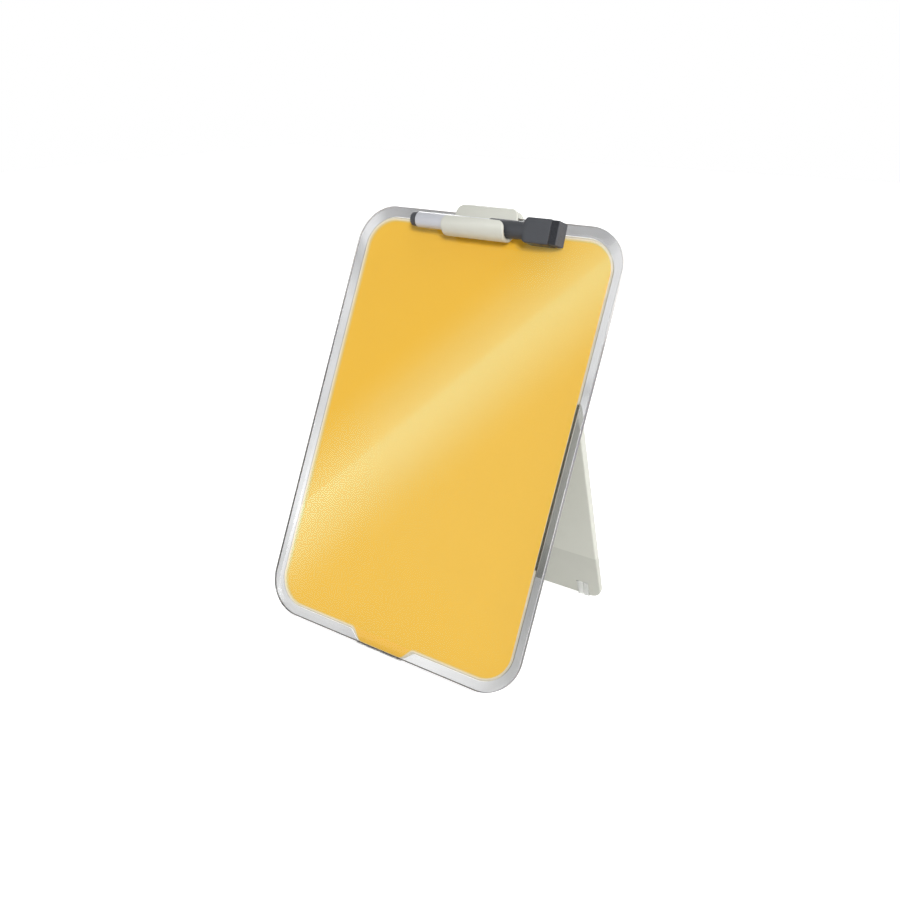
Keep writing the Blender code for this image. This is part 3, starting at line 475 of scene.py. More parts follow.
def ramp(tree, source, stops):
    """A colour ramp from (position, colour or grey) stops."""
    node = add_node(tree, "ValToRGB", {"Fac": source})
    elements = node.color_ramp.elements
    while len(elements) < len(stops):
        elements.new(0.5)
    for element, (position, colour) in zip(elements, stops):
        element.position = position
        element.color = (*colour, 1.0) if isinstance(colour, tuple) else (colour, colour, colour, 1.0)
    return node.outputs["Color"]


def noisy(tree, field, low, high):
    """A tone or a colour that varies from low to high with a noise field."""
    return ramp(tree, field, list(zip(NOISE_RANGE, (low, high))))


def set_base(tree, shader, colour):
    tree.links.new(colour, shader.inputs["Base Color"])


def add_mottle(tree, shader, colour, scale, spread, stretch=(1, 1, 1)):
    """Slight variation of the base colour."""
    low, high = (tuple(channel * factor for channel in colour) for factor in (1 - spread, 1 + spread))
    set_base(tree, shader, noisy(tree, noise_field(tree, scale, stretch=stretch), low, high))


def add_roughness(tree, shader, low, high, scale):
    tree.links.new(noisy(tree, noise_field(tree, scale), low, high), shader.inputs["Roughness"])


def add_bump(tree, shader, height, depth, strength=1.0):
    inputs = {"Height": height, "Distance": depth, "Strength": strength}
    tree.links.new(add_node(tree, "Bump", inputs).outputs["Normal"], shader.inputs["Normal"])


def add_grain(tree, shader, scale, depth, strength=1.0, detail=4.0, stretch=(1, 1, 1)):
    """A fine bump whose depth is in metres."""
    add_bump(tree, shader, noise_field(tree, scale, detail, stretch), depth, strength)


def moulded_plastic(name, colour, roughness, spread=0.015, shine=0.5):
    """Injection-moulded plastic with a fine spark-eroded texture."""
    material, tree, shader = new_material(name)
    set_sockets(shader, IOR=1.48, Specular_IOR_Level=shine)
    add_mottle(tree, shader, colour, 60, spread)
    add_roughness(tree, shader, roughness - 0.04, roughness + 0.04, 350)
    add_grain(tree, shader, 1800, MOULDED_GRAIN, 0.5)
    return material


def leaf_plastic(stand, crease):
    """The stand's plastic, with painted shade that makes its face a little darker below the crease."""
    material = moulded_plastic("leaf_plastic", SHELL_WHITE, 0.42)
    tree = material.node_tree
    shader = tree.nodes["Principled BSDF"]
    up = stand.col[2].to_3d()
    middle = crease + stand.translation.dot(up)
    mottle = shader.inputs["Base Color"].links[0].from_socket
    step = tone_along(tree, up, (middle - CREASE_BLEND, middle + CREASE_BLEND),
                      ((0.0, CREASE_SHADE), (1.0, 1.0)))
    set_base(tree, shader, multiply(tree, mottle, step))
    return material


def let_light_through(tree, shader):
    """Let soft light pass straight through a glass, so that what lies behind it is lit evenly."""
    path = add_node(tree, "LightPath")
    either = calculate(tree, "MAXIMUM", path.outputs["Is Diffuse Ray"], path.outputs["Is Shadow Ray"])
    clear = add_node(tree, "BsdfTransparent", {"Color": CLEAR_SHADOW})
    mix = add_node(tree, "MixShader", {0: either, 1: shader.outputs["BSDF"], 2: clear.outputs["BSDF"]})
    end_with(tree, mix.outputs["Shader"])


def clear_glass(name, sheen):
    """Clear glass, a little uneven where it has been wiped, with a tint for what it mirrors."""
    material, tree, shader = new_material(name)
    set_sockets(shader, Base_Color=(1.0, 1.0, 1.0), IOR=1.5, Transmission_Weight=1.0, Specular_Tint=sheen)
    add_roughness(tree, shader, 0.0, GLASS_SMUDGE, 18)
    let_light_through(tree, shader)
    return material


def tone_along(tree, direction, reach, stops):
    """A colour ramp along a direction in the object's own coordinates."""
    along = length_along(tree, object_place(tree), direction)
    return ramp(tree, share_between(tree, along, *reach), stops)


def polished_edge_painted_light(name, direction, reach, stops):
    """The ground and polished edge: milky, a little clear, with faint grinding marks and painted light
    and shade along a direction.
    """
    material, tree, shader = new_material(name)
    set_sockets(shader, IOR=1.5, Transmission_Weight=0.12)
    tone = tone_along(tree, direction, reach, stops)
    marks = noisy(tree, noise_field(tree, 400, stretch=(0.1, 1, 0.1)), 0.88, 1.0)
    set_base(tree, shader, multiply(tree, tone, marks))
    add_roughness(tree, shader, 0.12, 0.28, 700)
    return material


def tone_round(tree, centre, half, stops):
    """A colour ramp round a centre in the X-Z plane, from below over left, top and right."""
    inputs = {"Vector": object_place(tree), "Location": centre, "Scale": half}
    place = add_node(tree, "Mapping", inputs, vector_type="TEXTURE").outputs["Vector"]
    turn = calculate(tree, "ARCTAN2", coordinate(tree, place, "X"), coordinate(tree, place, "Z"))
    return ramp(tree, share_between(tree, turn, -pi, pi), stops)


def margin_painted_reflection(board, half, height):
    """The clear margin round the print: glass with painted reflection and shade, whose tone changes round
    the board.
    """
    material, tree, shader = new_material("margin_glass_painted_reflection")
    set_sockets(shader, Roughness=0.02, IOR=1.5, Transmission_Weight=1.0)
    top = (board @ Vector((0, 0, height))).z
    tones = [(share, tuple(channel * (tone / SURROUND_LEVEL) ** 2 for channel in MARGIN_PAINTED_TINT))
             for share, tone in MARGIN_PAINTED_TONES]
    tone = tone_round(tree, (0, 0, top / 2), (half, 1, top / 2), tones)
    cloud = noisy(tree, noise_field(tree, 14, 1.0), 0.94, 1.04)
    set_base(tree, shader, multiply(tree, tone, cloud))
    let_light_through(tree, shader)
    return material


def print_yellow():
    """The warm yellow print on the glass's back: faintly mottled, and fading to cream over a border at
    its edge.
    """
    material, tree, shader = new_material("warm_yellow_print")
    set_sockets(shader, Specular_IOR_Level=0.0, Roughness=0.6)
    cover = add_node(tree, "Attribute", attribute_name="cover").outputs["Fac"]
    mottle = noisy(tree, noise_field(tree, 25), 0.988, 1.0)
    set_base(tree, shader, multiply(tree, ramp(tree, cover, PRINT_FADE_COLOURS), mottle))
    return material


def cream_sheet(board, foam_low, foam_high):
    """The cream sheet behind the print. Its rim on the right, over the foam, carries painted shade in
    dark brown.
    """
    material, tree, shader = new_material("translucent_cream_sheet")
    set_sockets(shader, Transmission_Weight=0.1, IOR=1.15, Specular_IOR_Level=0.0)
    add_mottle(tree, shader, CREAM, 200, 0.02)
    up = board.col[2].to_3d()
    base = board.translation.dot(up)
    band = tone_along(tree, up, (foam_low.z + base, foam_high.z + base),
                      ((0.0, 0.0), (0.01, 1.0), (0.99, 1.0), (1.0, 0.0)))
    side = tone_along(tree, (1, 0, 0), (0.0, foam_low.x), ((0.4, 0.0), (0.6, 1.0)))
    cream = shader.inputs["Base Color"].links[0].from_socket
    set_base(tree, shader, blend(tree, multiply(tree, band, side), cream, (*FOAM_SHADE_BROWN, 1.0)))
    add_roughness(tree, shader, 0.3, 0.4, 300)
    return material


def dark_foam(board, front):
    """Closed-cell foam strips: small cells, with painted shade in dark brown at the front and paler
    behind.
    """
    material, tree, shader = new_material("dark_foam")
    set_sockets(shader, Roughness=0.95, Specular_IOR_Level=0.2)
    back = board.col[1].to_3d()
    middle = front + FOAM_SHADE_DEPTH + board.translation.dot(back)
    depth = tone_along(tree, back, (middle - FOAM_BLEND, middle + FOAM_BLEND),
                       ((0.0, FOAM_SHADE_BROWN), (1.0, FOAM_BACK)))
    set_base(tree, shader, multiply(tree, depth, noisy(tree, noise_field(tree, 900), 0.75, 1.0)))
    cells = add_node(tree, "TexVoronoi", {"Vector": object_place(tree), "Scale": 2200})
    add_bump(tree, shader, cells.outputs["Distance"], 0.00015)
    return material


def rubber(name, colour, transmission=0.0, roughness=0.7):
    material, tree, shader = new_material(name)
    set_sockets(shader, Transmission_Weight=transmission, IOR=1.45)
    add_mottle(tree, shader, colour, 150, 0.05)
    add_roughness(tree, shader, roughness - 0.06, roughness + 0.06, 500)
    add_grain(tree, shader, 1500, 0.00002, 0.4)
    return material


def marker_tube():
    """Satin extruded tube with faint draw lines along its length."""
    material, tree, shader = new_material("light_grey_tube")
    set_sockets(shader, IOR=1.5)
    add_mottle(tree, shader, LIGHT_GREY_TUBE, 500, 0.012, stretch=(0.04, 1, 1))
    add_roughness(tree, shader, 0.28, 0.36, 120)
    add_grain(tree, shader, 1200, 0.000006, 0.4, stretch=(0.03, 1, 1))
    return material


def felt_material(end_start, end_stop):
    """Dense dark felt, with painted light that makes its wiping face at the end lighter."""
    material, tree, shader = new_material("dark_felt")
    set_sockets(shader, Roughness=1.0, Sheen_Weight=0.15, Specular_IOR_Level=0.2)
    lit_end = share_between(tree, coordinate(tree, object_place(tree), "X"), end_start, end_stop)
    field = noise_field(tree, 2600, 6.0)
    tones = [noisy(tree, field, *pair) for pair in (FELT_TONES, LIT_END_FELT_TONES)]
    set_base(tree, shader, blend(tree, lit_end, *tones))
    add_grain(tree, shader, 3500, 0.00012, 0.8, 5.0)
    return material


def ink_fibre():
    material, tree, shader = new_material("ink_fibre")
    set_sockets(shader, Roughness=0.9, Specular_IOR_Level=0.2)
    add_mottle(tree, shader, INK_DARK, 3000, 0.3, stretch=(0.05, 1, 1))
    add_grain(tree, shader, 3000, 0.00005, 0.6, stretch=(0.05, 1, 1))
    return material


# The board

def build_glass(frame, board, glass):
    """The plate: flat front, wide shallow bevel, rounded arrises, and a margin with painted reflection
    and shade on its back.
    """
    half, height, thickness = glass.x, glass.z, glass.y
    slope = BEVEL_DROP / (BEVEL_WIDTH - GLASS_ARRIS)
    steps = [(BEVEL_WIDTH + EDGE_EASE, 0, BEVEL), (BEVEL_WIDTH, 0, BEVEL),
             (BEVEL_WIDTH - EDGE_EASE, EDGE_EASE * slope, BEVEL),
             (GLASS_ARRIS + EDGE_EASE, BEVEL_DROP - EDGE_EASE * slope, BEVEL)]
    for angle in quarter_turn():
        steps.append((GLASS_ARRIS * (1 - sin(angle)), BEVEL_DROP + GLASS_ARRIS * (1 - cos(angle)), ARRIS))
    steps[-1] = (*steps[-1][:2], SIDE)
    steps.append((0, BEVEL_DROP + GLASS_ARRIS + EDGE_EASE, SIDE))
    steps.append((0, thickness - GLASS_ARRIS - EDGE_EASE, SIDE))
    for angle in quarter_turn():
        steps.append((GLASS_ARRIS * (1 - cos(angle)), thickness - GLASS_ARRIS * (1 - sin(angle)), ARRIS))
    steps[-1] = (*steps[-1][:2], MARGIN)
    steps.append((GLASS_ARRIS + EDGE_LAND, thickness, MARGIN))
    sheet_low, sheet_high = box_in(frame, "carrier_sheet", board)
    margin, grow = half - sheet_high.x, sheet_high.x - box_in(frame, "colour_film", board)[1].x
    shoulders = tab_edge(margin, sheet_low.z, grow)
    front = inset_outline(half, 0, height, SHEEN_CORNER_RADIUS, SHEEN_INSET,
                          [(x, SHEEN_INSET["bottom"]) for x, _ in shoulders])
    rings = [at_depth(front, 0)]
    for inset, depth, _ in steps:
        outline = rounded_outline(half - inset, inset, height - inset, GLASS_CORNER_RADIUS - inset,
                                  [(x, inset) for x, _ in shoulders])
        rings.append(at_depth(outline, depth))
    lowest = GLASS_ARRIS + 2 * EDGE_LAND
    inner = inset_outline(sheet_high.x, margin, sheet_high.z, PRINT_CORNER_RADIUS + grow,
                          {"left": grow, "right": 0, "top": 0, "bottom": 0},
                          [(x, max(z, lowest)) for x, z in shoulders])
    rings.append(at_depth(inner, thickness))
    bm = bmesh.new()
    add_rings(bm, rings, slots=[BEVEL] + [slot for _, _, slot in steps])
    item = mesh_object("glass_pane", bm, None)
    materials = [clear_glass("clear_glass", PRINT_SHEEN),
                 polished_edge_painted_light("eased_arris_painted_light", ARRIS_DIRECTION, ARRIS_RANGE, ARRIS_TONES),
                 polished_edge_painted_light("ground_edge_painted_light", (0, 0, 1), SIDE_RANGE, SIDE_TONES),
                 margin_painted_reflection(board, half, height), clear_glass("bevel_glass", BEVEL_SHEEN)]
    place_piece(item, board, "board", materials, ["glass_plate"])


def tab_edge(edge, tab_bottom, grow):
    """The bottom tab: a smooth shoulder down, a flat stretch and a smooth shoulder up."""
    shoulder = []
    for i in range(TAB_STEPS + 1):
        share = i / TAB_STEPS
        ease = share * share * (3 - 2 * share)
        half = TAB_TOP_HALF_WIDTH + (TAB_BOTTOM_HALF_WIDTH - TAB_TOP_HALF_WIDTH) * share + grow
        shoulder.append((half, edge + (tab_bottom - edge) * ease))
    return [(-x, z) for x, z in shoulder] + list(reversed(shoulder))


def build_carrier(frame, board, material, glass):
    """The cream sheet behind the print, with the print's outline a little enlarged."""
    low, high = box_in(frame, "carrier_sheet", board)
    margin = glass.x - high.x
    grow = high.x - box_in(frame, "colour_film", board)[1].x
    outline = rounded_outline(high.x, margin, high.z, PRINT_CORNER_RADIUS + grow,
                              tab_edge(margin, low.z, grow))
    rings = [at_depth(outline, low.y), at_depth(outline, high.y)]
    ring_piece("cream_sheet", rings, board, "board", material, ["carrier_sheet"])


def build_print(frame, board, material, glass):
    """The yellow print on the glass's back, with a border over which it fades to cream."""
    low, high = box_in(frame, "colour_film", board)
    margin, front, fade = glass.x - high.x, glass.y - PRINT_BOND, PRINT_FADE
    outline = rounded_outline(high.x, margin, high.z, PRINT_CORNER_RADIUS, tab_edge(margin, low.z, 0))
    inner = inset_outline(high.x, margin, high.z, PRINT_CORNER_RADIUS - fade["bottom"], fade,
                          tab_edge(margin + fade["bottom"], low.z + fade["tab"], -fade["tab"]))
    rings = [at_depth(outline, front + PRINT_THICKNESS), at_depth(outline, front), at_depth(inner, front)]
    bm = bmesh.new()
    add_rings(bm, rings)
    item = mesh_object("colour_print", bm, SHARP_ANGLE)
    cover = item.data.attributes.new("cover", "FLOAT", "POINT")
    for i in range(2 * len(outline), 3 * len(outline)):
        cover.data[i].value = 1.0
    place_piece(item, board, "board", [material], ["colour_film"])


def dress_node(frame, node, material, edge=None):
    """A CAD node that keeps its shape: finished material and softly broken edges."""
    item = frame["nodes"][node]
    item.data.materials.clear()
    item.data.materials.append(material)
    if edge:
        weld = item.modifiers.new("weld", "WELD")
        weld.merge_threshold = WELD_GAP
        bevel = item.modifiers.new("broken_edges", "BEVEL")
        bevel.width = edge
        bevel.segments = EDGE_SEGMENTS
        bevel.limit_method = "ANGLE"
        bevel.angle_limit = EDGE_ANGLE
        bevel.harden_normals = True


# The stand

def build_feet(frame, stand, material):
    """Milky rubber feet: bars with two round ridges, a flat cut on the floor and a rounded top."""
    outward, along = stand.col[1].to_3d(), stand.col[2].to_3d()
    for node in ("stand_foot_left", "stand_foot_right"):
        low, high = box_in(frame, node, stand)
        centre, half = (low.x + high.x) / 2, (high.x - low.x) / 2
        back, front = high.y, low.y + FOOT_PROUD

        def section(level, proud):
            points = [(centre + half, back), (centre - half, back)]
            for i in range(FOOT_STEPS + 1):
                ridge = abs(sin(pi * FOOT_RIDGES * i / FOOT_STEPS))
                points.append((centre - half * cos(pi * i / FOOT_STEPS), front - proud * sqrt(ridge)))
            floor = [-(stand.translation.z + y * outward.z) / along.z for _, y in points]
            return [(x, y, z if level is None else level) for (x, y), z in zip(points, floor)]

        rings = [section(None, FOOT_PROUD)]
        for angle in quarter_turn(FOOT_TOP_STEPS):
            proud = FOOT_PROUD * max(cos(angle), FOOT_TOP_SHARE)
            rings.append(section(high.z - FOOT_PROUD * (1 - sin(angle)), proud))
        ring_piece(node + "_bar", rings, stand, "stand", material, [node], sharp_angle=40)


# The pen holder

def corner_heights(base, radius, top):
    last = asin(min((top - base) / radius, 1))
    return [base + radius * sin(last * i / HOLDER_ARC_STEPS) for i in range(HOLDER_ARC_STEPS + 1)]


class HolderShape:
    """The holder's places in the board's frame, from its CAD box and its own sizes."""

    def __init__(self, frame, board, pen):
        low, high = box_in(frame, "pen_holder", board)
        self.glass_top = box_in(frame, "glass_plate", board)[1].z
        axis = board.inverted() @ pen.translation
        self.half = high.x
        self.top = high.z
        self.axis_depth, self.axis_height = axis.y, axis.z
        self.cradle = CAP_RADIUS + PEN_CLEARANCE + HOLDER_WALL / 2
        self.leg = high.y - HOLDER_WALL / 2
        self.leg_end = self.glass_top - HOLDER_LEG_DROP
        self.lip_top = self.glass_top - HOLDER_LIP_DROP

    def path(self):
        wall = HOLDER_WALL / 2
        lip = corner_heights(self.lip_top - HOLDER_LIP_RADIUS, HOLDER_LIP_RADIUS, self.lip_top)
        path = [(self.axis_depth - self.cradle, height) for height in reversed(lip)
                if height > self.axis_height + MESH_GAP]
        path += arc((self.axis_depth, self.axis_height), self.cradle, pi, 2 * pi, HOLDER_CURL_STEPS)
        front = self.axis_depth + self.cradle
        bridge = self.top - wall
        bend = HOLDER_BEND_RADIUS + wall
        sides = corner_heights(self.top - HOLDER_TOP_RADIUS, HOLDER_TOP_RADIUS, bridge - bend)
        path += [(front, height) for height in sides[:-1]]
        path += arc((front + bend, bridge - bend), bend, pi, pi / 2, HOLDER_BEND_STEPS)
        path += arc((self.leg - bend, bridge - bend), bend, pi / 2, 0, HOLDER_BEND_STEPS)
        path += [(self.leg, height) for height in reversed(sides[:-1])]
        path.append((self.leg, self.leg_end))
        return path

    def half_width(self, depth, height):
        rise, radius = height - (self.top - HOLDER_TOP_RADIUS), HOLDER_TOP_RADIUS
        if depth < self.axis_depth:
            rise, radius = height - (self.lip_top - HOLDER_LIP_RADIUS), HOLDER_LIP_RADIUS
        rise = min(max(rise, 0), radius)
        return self.half - radius + sqrt(radius * radius - rise * rise)

    def end_wall(self, side):
        """A wall that closes one end of the hook above the glass and follows its rounded top."""
        low, high = self.glass_top + MESH_GAP, self.top - HOLDER_WALL + HOLDER_WALL_LAP
        outer = []
        for i in range(HOLDER_ARC_STEPS + 1):
            height = low + (high - low) * i / HOLDER_ARC_STEPS
            outer.append((self.half_width(0, height) - HOLDER_END_INSET, height))
        inner = [(half - HOLDER_END_WALL, height) for half, height in reversed(outer)]
        return [(side * half, height) for half, height in outer + inner]


def strip_places(path, thickness):
    """Places along a strip with their thickness, which falls off round both ends."""
    radius = thickness / 2
    points = [Vector(point) for point in path]
    ends = []
    for end, inner in (points[:2], points[:-3:-1]):
        along = (inner - end).normalized() * radius
        ends.append([(end + along * share, thickness * sqrt(share * (2 - share)))
                     for share in HOLDER_END_SHARES])
    middle = [(point, thickness) for point in points
              if min((point - points[0]).length, (point - points[-1]).length) > radius]
    return ends[0] + middle + ends[1][::-1]


def strip_ring(centre, normal, wall, half_width):
    """One cross-section of the strip, with rounded edges."""
    bend = min(HOLDER_EDGE_RADIUS, wall * HOLDER_EDGE_SHARE)
    ring = []
    for side, end in ((1, -1), (1, 1), (-1, 1), (-1, -1)):
        start = 0 if side == end else 1
        for i in range(HOLDER_EDGE_STEPS + 1):
            turn = pi / 2 * abs(start - i / HOLDER_EDGE_STEPS)
            offset = side * (wall / 2 - bend + bend * cos(turn))
            point = centre + normal * offset
            half = half_width(point.x, point.y) - bend + bend * sin(turn)
            ring.append((end * half, point.x, point.y))
    return ring


def build_holder(frame, board, pen, material):
    shape = HolderShape(frame, board, pen)
    places = strip_places(shape.path(), HOLDER_WALL)
    last = len(places) - 1
    rings = []
    for i, (centre, wall) in enumerate(places):
        along = (places[min(i + 1, last)][0] - places[max(i - 1, 0)][0]).normalized()
        rings.append(strip_ring(centre, Vector((-along.y, along.x)), wall, shape.half_width))
    bm = bmesh.new()
    add_rings(bm, rings)
    front = shape.axis_depth + shape.cradle
    low, high = shape.glass_top + MESH_GAP, shape.top - HOLDER_WALL / 2
    outline = [(front, low), (shape.leg, low), (shape.leg, high), (front, high)]
    add_rings(bm, [across(outline, -HOLDER_RIB_WIDTH / 2), across(outline, HOLDER_RIB_WIDTH / 2)])
    for side in (-1, 1):
        outline = shape.end_wall(side)
        add_rings(bm, [at_depth(outline, front), at_depth(outline, shape.leg)])
    item = mesh_object("holder_hook", bm, 40)
    place_piece(item, board, "holder", [material], ["pen_holder"])


# The marker

def build_marker(frame, pen, materials):
    left, right = span_in(frame, "marker_barrel", pen)
    mouth = span_in(frame, "cap_shell", pen)[0]
    neck = BARREL_RADIUS - NECK_STEP
    bore = neck - NECK_WALL
    ease = PLUG_TAPER / 3
    barrel = [(left, BARREL_RADIUS - 2 * ease), (left + ease, BARREL_RADIUS - ease),
              (left + PLUG_TAPER, BARREL_RADIUS), (mouth - MESH_GAP - ease, BARREL_RADIUS),
              (mouth - MESH_GAP, BARREL_RADIUS - ease), (mouth - MESH_GAP, neck), (right - ease, neck),
              (right, neck - ease), (right, bore), (left, bore)]
    ring_piece("barrel_tube", turned(barrel), pen, "marker", materials["tube"],
               ["marker_barrel"], closed=True)

    end = span_in(frame, "marker_end_plug", pen)[0]
    plug = [(end, BARREL_RADIUS - PLUG_FACE_STEP)]
    for angle in quarter_turn():
        plug.append((end + PLUG_TAPER * (1 - cos(angle)),
                     BARREL_RADIUS - PLUG_TAPER - PLUG_TAPER * (1 - sin(angle))))
    plug += [(left - MESH_GAP, BARREL_RADIUS - PLUG_TAPER / 2), (left - MESH_GAP, bore - RUN_CLEARANCE),
             (left + PLUG_SPIGOT, bore - RUN_CLEARANCE)]
    ring_piece("end_plug", turned(plug), pen, "marker", materials["cap"], ["marker_end_plug"])

    start, tip = span_in(frame, "marker_section", pen)
    flange = neck - SECTION_FLANGE_STEP
    nib_bore = NIB_RADIUS + RUN_CLEARANCE
    section = [(start, bore - RUN_CLEARANCE), (right + MESH_GAP, bore - RUN_CLEARANCE),
               (right + MESH_GAP, flange), (right + SECTION_SHOULDER, flange),
               (tip - ease, SECTION_TIP_RADIUS + ease), (tip, SECTION_TIP_RADIUS),
               (tip, nib_bore), (start, nib_bore)]
    ring_piece("nib_holder", turned(section), pen, "marker", materials["white"],
               ["marker_section"], closed=True)

    start, tip = span_in(frame, "marker_nib", pen)
    nib = [(start, NIB_RADIUS)]
    for angle in quarter_turn(FLARE_STEPS):
        nib.append((tip - NIB_POINT * (1 - sin(angle)), NIB_RADIUS * max(cos(angle), NIB_TIP_SHARE)))
    ring_piece("bullet_nib", turned(nib), pen, "marker", materials["fibre"], ["marker_nib"])


def block_outline(shrink):
    """The cap block's outline: a rectangle with small rounded corners, drawn in by shrink."""
    depth, height = BLOCK_HALF_DEPTH - shrink, BLOCK_HALF_HEIGHT - shrink
    radius = max(BLOCK_CHAMFER - shrink / 2, BLOCK_CHAMFER / 3)
    signs = ((1, 1), (-1, 1), (-1, -1), (1, -1))
    corners = [(y * (depth - radius), z * (height - radius)) for y, z in signs]
    outline = []
    for quarter, centre in enumerate(corners):
        start = pi / 2 * quarter
        stop = start + pi / 2
        outline += arc(centre, radius, start, stop, BLOCK_CORNER_STEPS)
        corner = Vector(outline[-1])
        end = Vector(corners[(quarter + 1) % 4]) + Vector((radius * cos(stop), radius * sin(stop)))
        outline += [tuple(corner.lerp(end, i / BLOCK_FACE_STEPS)) for i in range(1, BLOCK_FACE_STEPS)]
    return outline


def cap_ring(x, radius, block_share=0.0, shrink=0.0):
    """A ring of the cap, blended from a circle into the block's outline."""
    ring = []
    for y, z in block_outline(shrink):
        reach = sqrt(y * y + z * z)
        share = (radius + (reach - radius) * block_share) / reach
        ring.append((x, y * share, z * share))
    return ring


def build_cap(frame, pen, material):
    mouth, end = span_in(frame, "cap_shell", pen)
    section_tip = span_in(frame, "marker_section", pen)[1]
    bore_end = span_in(frame, "cap_inner_seal", pen)[1] + MESH_GAP
    bore = BARREL_RADIUS - NECK_STEP + CAP_BORE_CLEARANCE
    inner = bore - CAP_BORE_STEP
    flare = mouth + CAP_ROUND_LENGTH
    rings = [cap_ring(bore_end, inner), cap_ring(section_tip, inner), cap_ring(section_tip, bore),
             cap_ring(mouth, bore), cap_ring(mouth, CAP_RADIUS - CAP_MOUTH_CHAMFER),
             cap_ring(mouth + CAP_MOUTH_CHAMFER / 3, CAP_RADIUS - CAP_MOUTH_CHAMFER / 3),
             cap_ring(mouth + CAP_MOUTH_CHAMFER, CAP_RADIUS), cap_ring(flare, CAP_RADIUS)]
    for i in range(1, FLARE_STEPS + 1):
        share = i / FLARE_STEPS
        rings.append(cap_ring(flare + CAP_FLARE_LENGTH * share, CAP_RADIUS, sin(pi / 2 * share)))
    for angle in quarter_turn():
        rings.append(cap_ring(end - BLOCK_END_CHAMFER * (1 - sin(angle)), CAP_RADIUS, 1.0,
                              BLOCK_END_CHAMFER * (1 - cos(angle))))
    rings += [cap_ring(end, CAP_RADIUS, 1.0, FELT_RIM),
              cap_ring(end - FELT_POCKET_DEPTH, CAP_RADIUS, 1.0, FELT_RIM)]
    ring_piece("cap_body", rings, pen, "cap", material, ["cap_shell"], sharp_angle=35)


def build_felt(frame, pen):
    """The felt block, with a little real fuzz on its surface."""
    base, end = span_in(frame, "eraser_felt", pen)
    cap_end = span_in(frame, "cap_shell", pen)[1]
    root = FELT_RIM + RUN_CLEARANCE
    start, stop = cap_end + MESH_GAP, end - FELT_END_CHAMFER
    rings = [cap_ring(base, CAP_RADIUS, 1.0, root), cap_ring(start, CAP_RADIUS, 1.0, root)]
    for i in range(FELT_STEPS + 1):
        rings.append(cap_ring(start + (stop - start) * i / FELT_STEPS, CAP_RADIUS, 1.0, FELT_FACE_INSET))
    for angle in quarter_turn(first=1):
        rings.append(cap_ring(stop + FELT_END_CHAMFER * sin(angle), CAP_RADIUS, 1.0,
                              FELT_FACE_INSET + FELT_END_CHAMFER * (1 - cos(angle))))
    rim = rings[-1]
    for i in range(1, FELT_STEPS):
        share = 1 - i / FELT_STEPS
        rings.append([(x, y * share, z * share) for x, y, z in rim])
    fuzzy = [[fuzz(point, end) if point[0] > cap_end else point for point in ring] for ring in rings]
    ring_piece("felt_block", fuzzy, pen, "cap", felt_material(end - FELT_END_CHAMFER, end),
               ["eraser_felt"], sharp_angle=60)


def fuzz(point, end):
    """Draw one point of the felt in by a small amount that varies from fibre to fibre."""
    place = Vector(point)
    depth = FELT_FUZZ * (0.5 + 0.5 * noise.noise(place * FELT_FUZZ_SCALE))
    inward = Vector((-1, 0, 0)) if place.x > end - MESH_GAP else Vector((0, -place.y, -place.z))
    return tuple(place + inward.normalized() * depth)


# Surroundings

def camera_like(tree):
    """1 for what the camera sees, straight, mirrored or through glass, and 0 for light on the object."""
    path = add_node(tree, "LightPath")
    seen = path.outputs["Is Camera Ray"]
    for name in ("Is Glossy Ray", "Is Transmission Ray"):
        seen = calculate(tree, "MAXIMUM", seen, path.outputs[name])
    first = calculate(tree, "LESS_THAN", path.outputs["Diffuse Depth"], 0.5)
    return calculate(tree, "MULTIPLY", seen, first)


def build_world():
    """A soft dome, brighter from the upper right, and plain white to the eye and in mirrors."""
    world = bpy.data.worlds.new("studio")
    bpy.context.scene.world = world
    world.use_nodes = True
    tree = world.node_tree
    place = add_node(tree, "TexCoord").outputs["Generated"]
    towards = length_along(tree, place, Vector(DOME_KEY_DIRECTION).normalized())
    light = tree.nodes["Background"]
    light.inputs["Color"].default_value = (1, 1, 1, 1)
    strength = share_between(tree, towards, 0, 1, DOME_FILL, DOME_FILL + DOME_KEY)
    tree.links.new(strength, light.inputs["Strength"])
    white = add_node(tree, "Background", {"Color": (1, 1, 1, 1), "Strength": 1.0})
    mix = add_node(tree, "MixShader", {0: camera_like(tree), 1: light.outputs["Background"],
                                       2: white.outputs["Background"]})
    end_with(tree, mix.outputs["Shader"], "World Output")


def stage_material(name):
    material, tree, shader = new_material(name)
    tree.nodes.remove(shader)
    return material, tree


def build_floor():
    half = FLOOR_SIZE / 2
    floor = add_quad("floor", [(-half, -half, -FLOOR_DROP), (half, -half, -FLOOR_DROP),
                               (half, half, -FLOOR_DROP), (-half, half, -FLOOR_DROP)])
    material, tree = stage_material("white_floor")
    diffuse = add_node(tree, "BsdfDiffuse", {"Color": FLOOR_COLOUR})
    strength = calculate(tree, "MULTIPLY", camera_like(tree), FLOOR_CAMERA_GLOW)
    glow = add_node(tree, "Emission", {"Strength": strength})
    both = add_node(tree, "AddShader", {0: diffuse.outputs["BSDF"], 1: glow.outputs["Emission"]})
    end_with(tree, both.outputs["Shader"])
    floor.data.materials.append(material)


def build_lamp(name, strength, origin, spread):
    """A distant soft light that shines from a direction towards the object."""
    data = bpy.data.lights.new(name, "SUN")
    data.energy, data.angle = strength, spread
    lamp = add_object(name, data)
    lamp.rotation_mode = "QUATERNION"
    lamp.rotation_quaternion = Vector(origin).to_track_quat("Z", "Y")


def camera_axes():
    forward = Vector((-sin(CAMERA_AZIMUTH) * cos(CAMERA_ELEVATION),
                      cos(CAMERA_AZIMUTH) * cos(CAMERA_ELEVATION), -sin(CAMERA_ELEVATION)))
    right = Vector((cos(CAMERA_AZIMUTH), sin(CAMERA_AZIMUTH), 0))
    return forward, right, right.cross(forward)


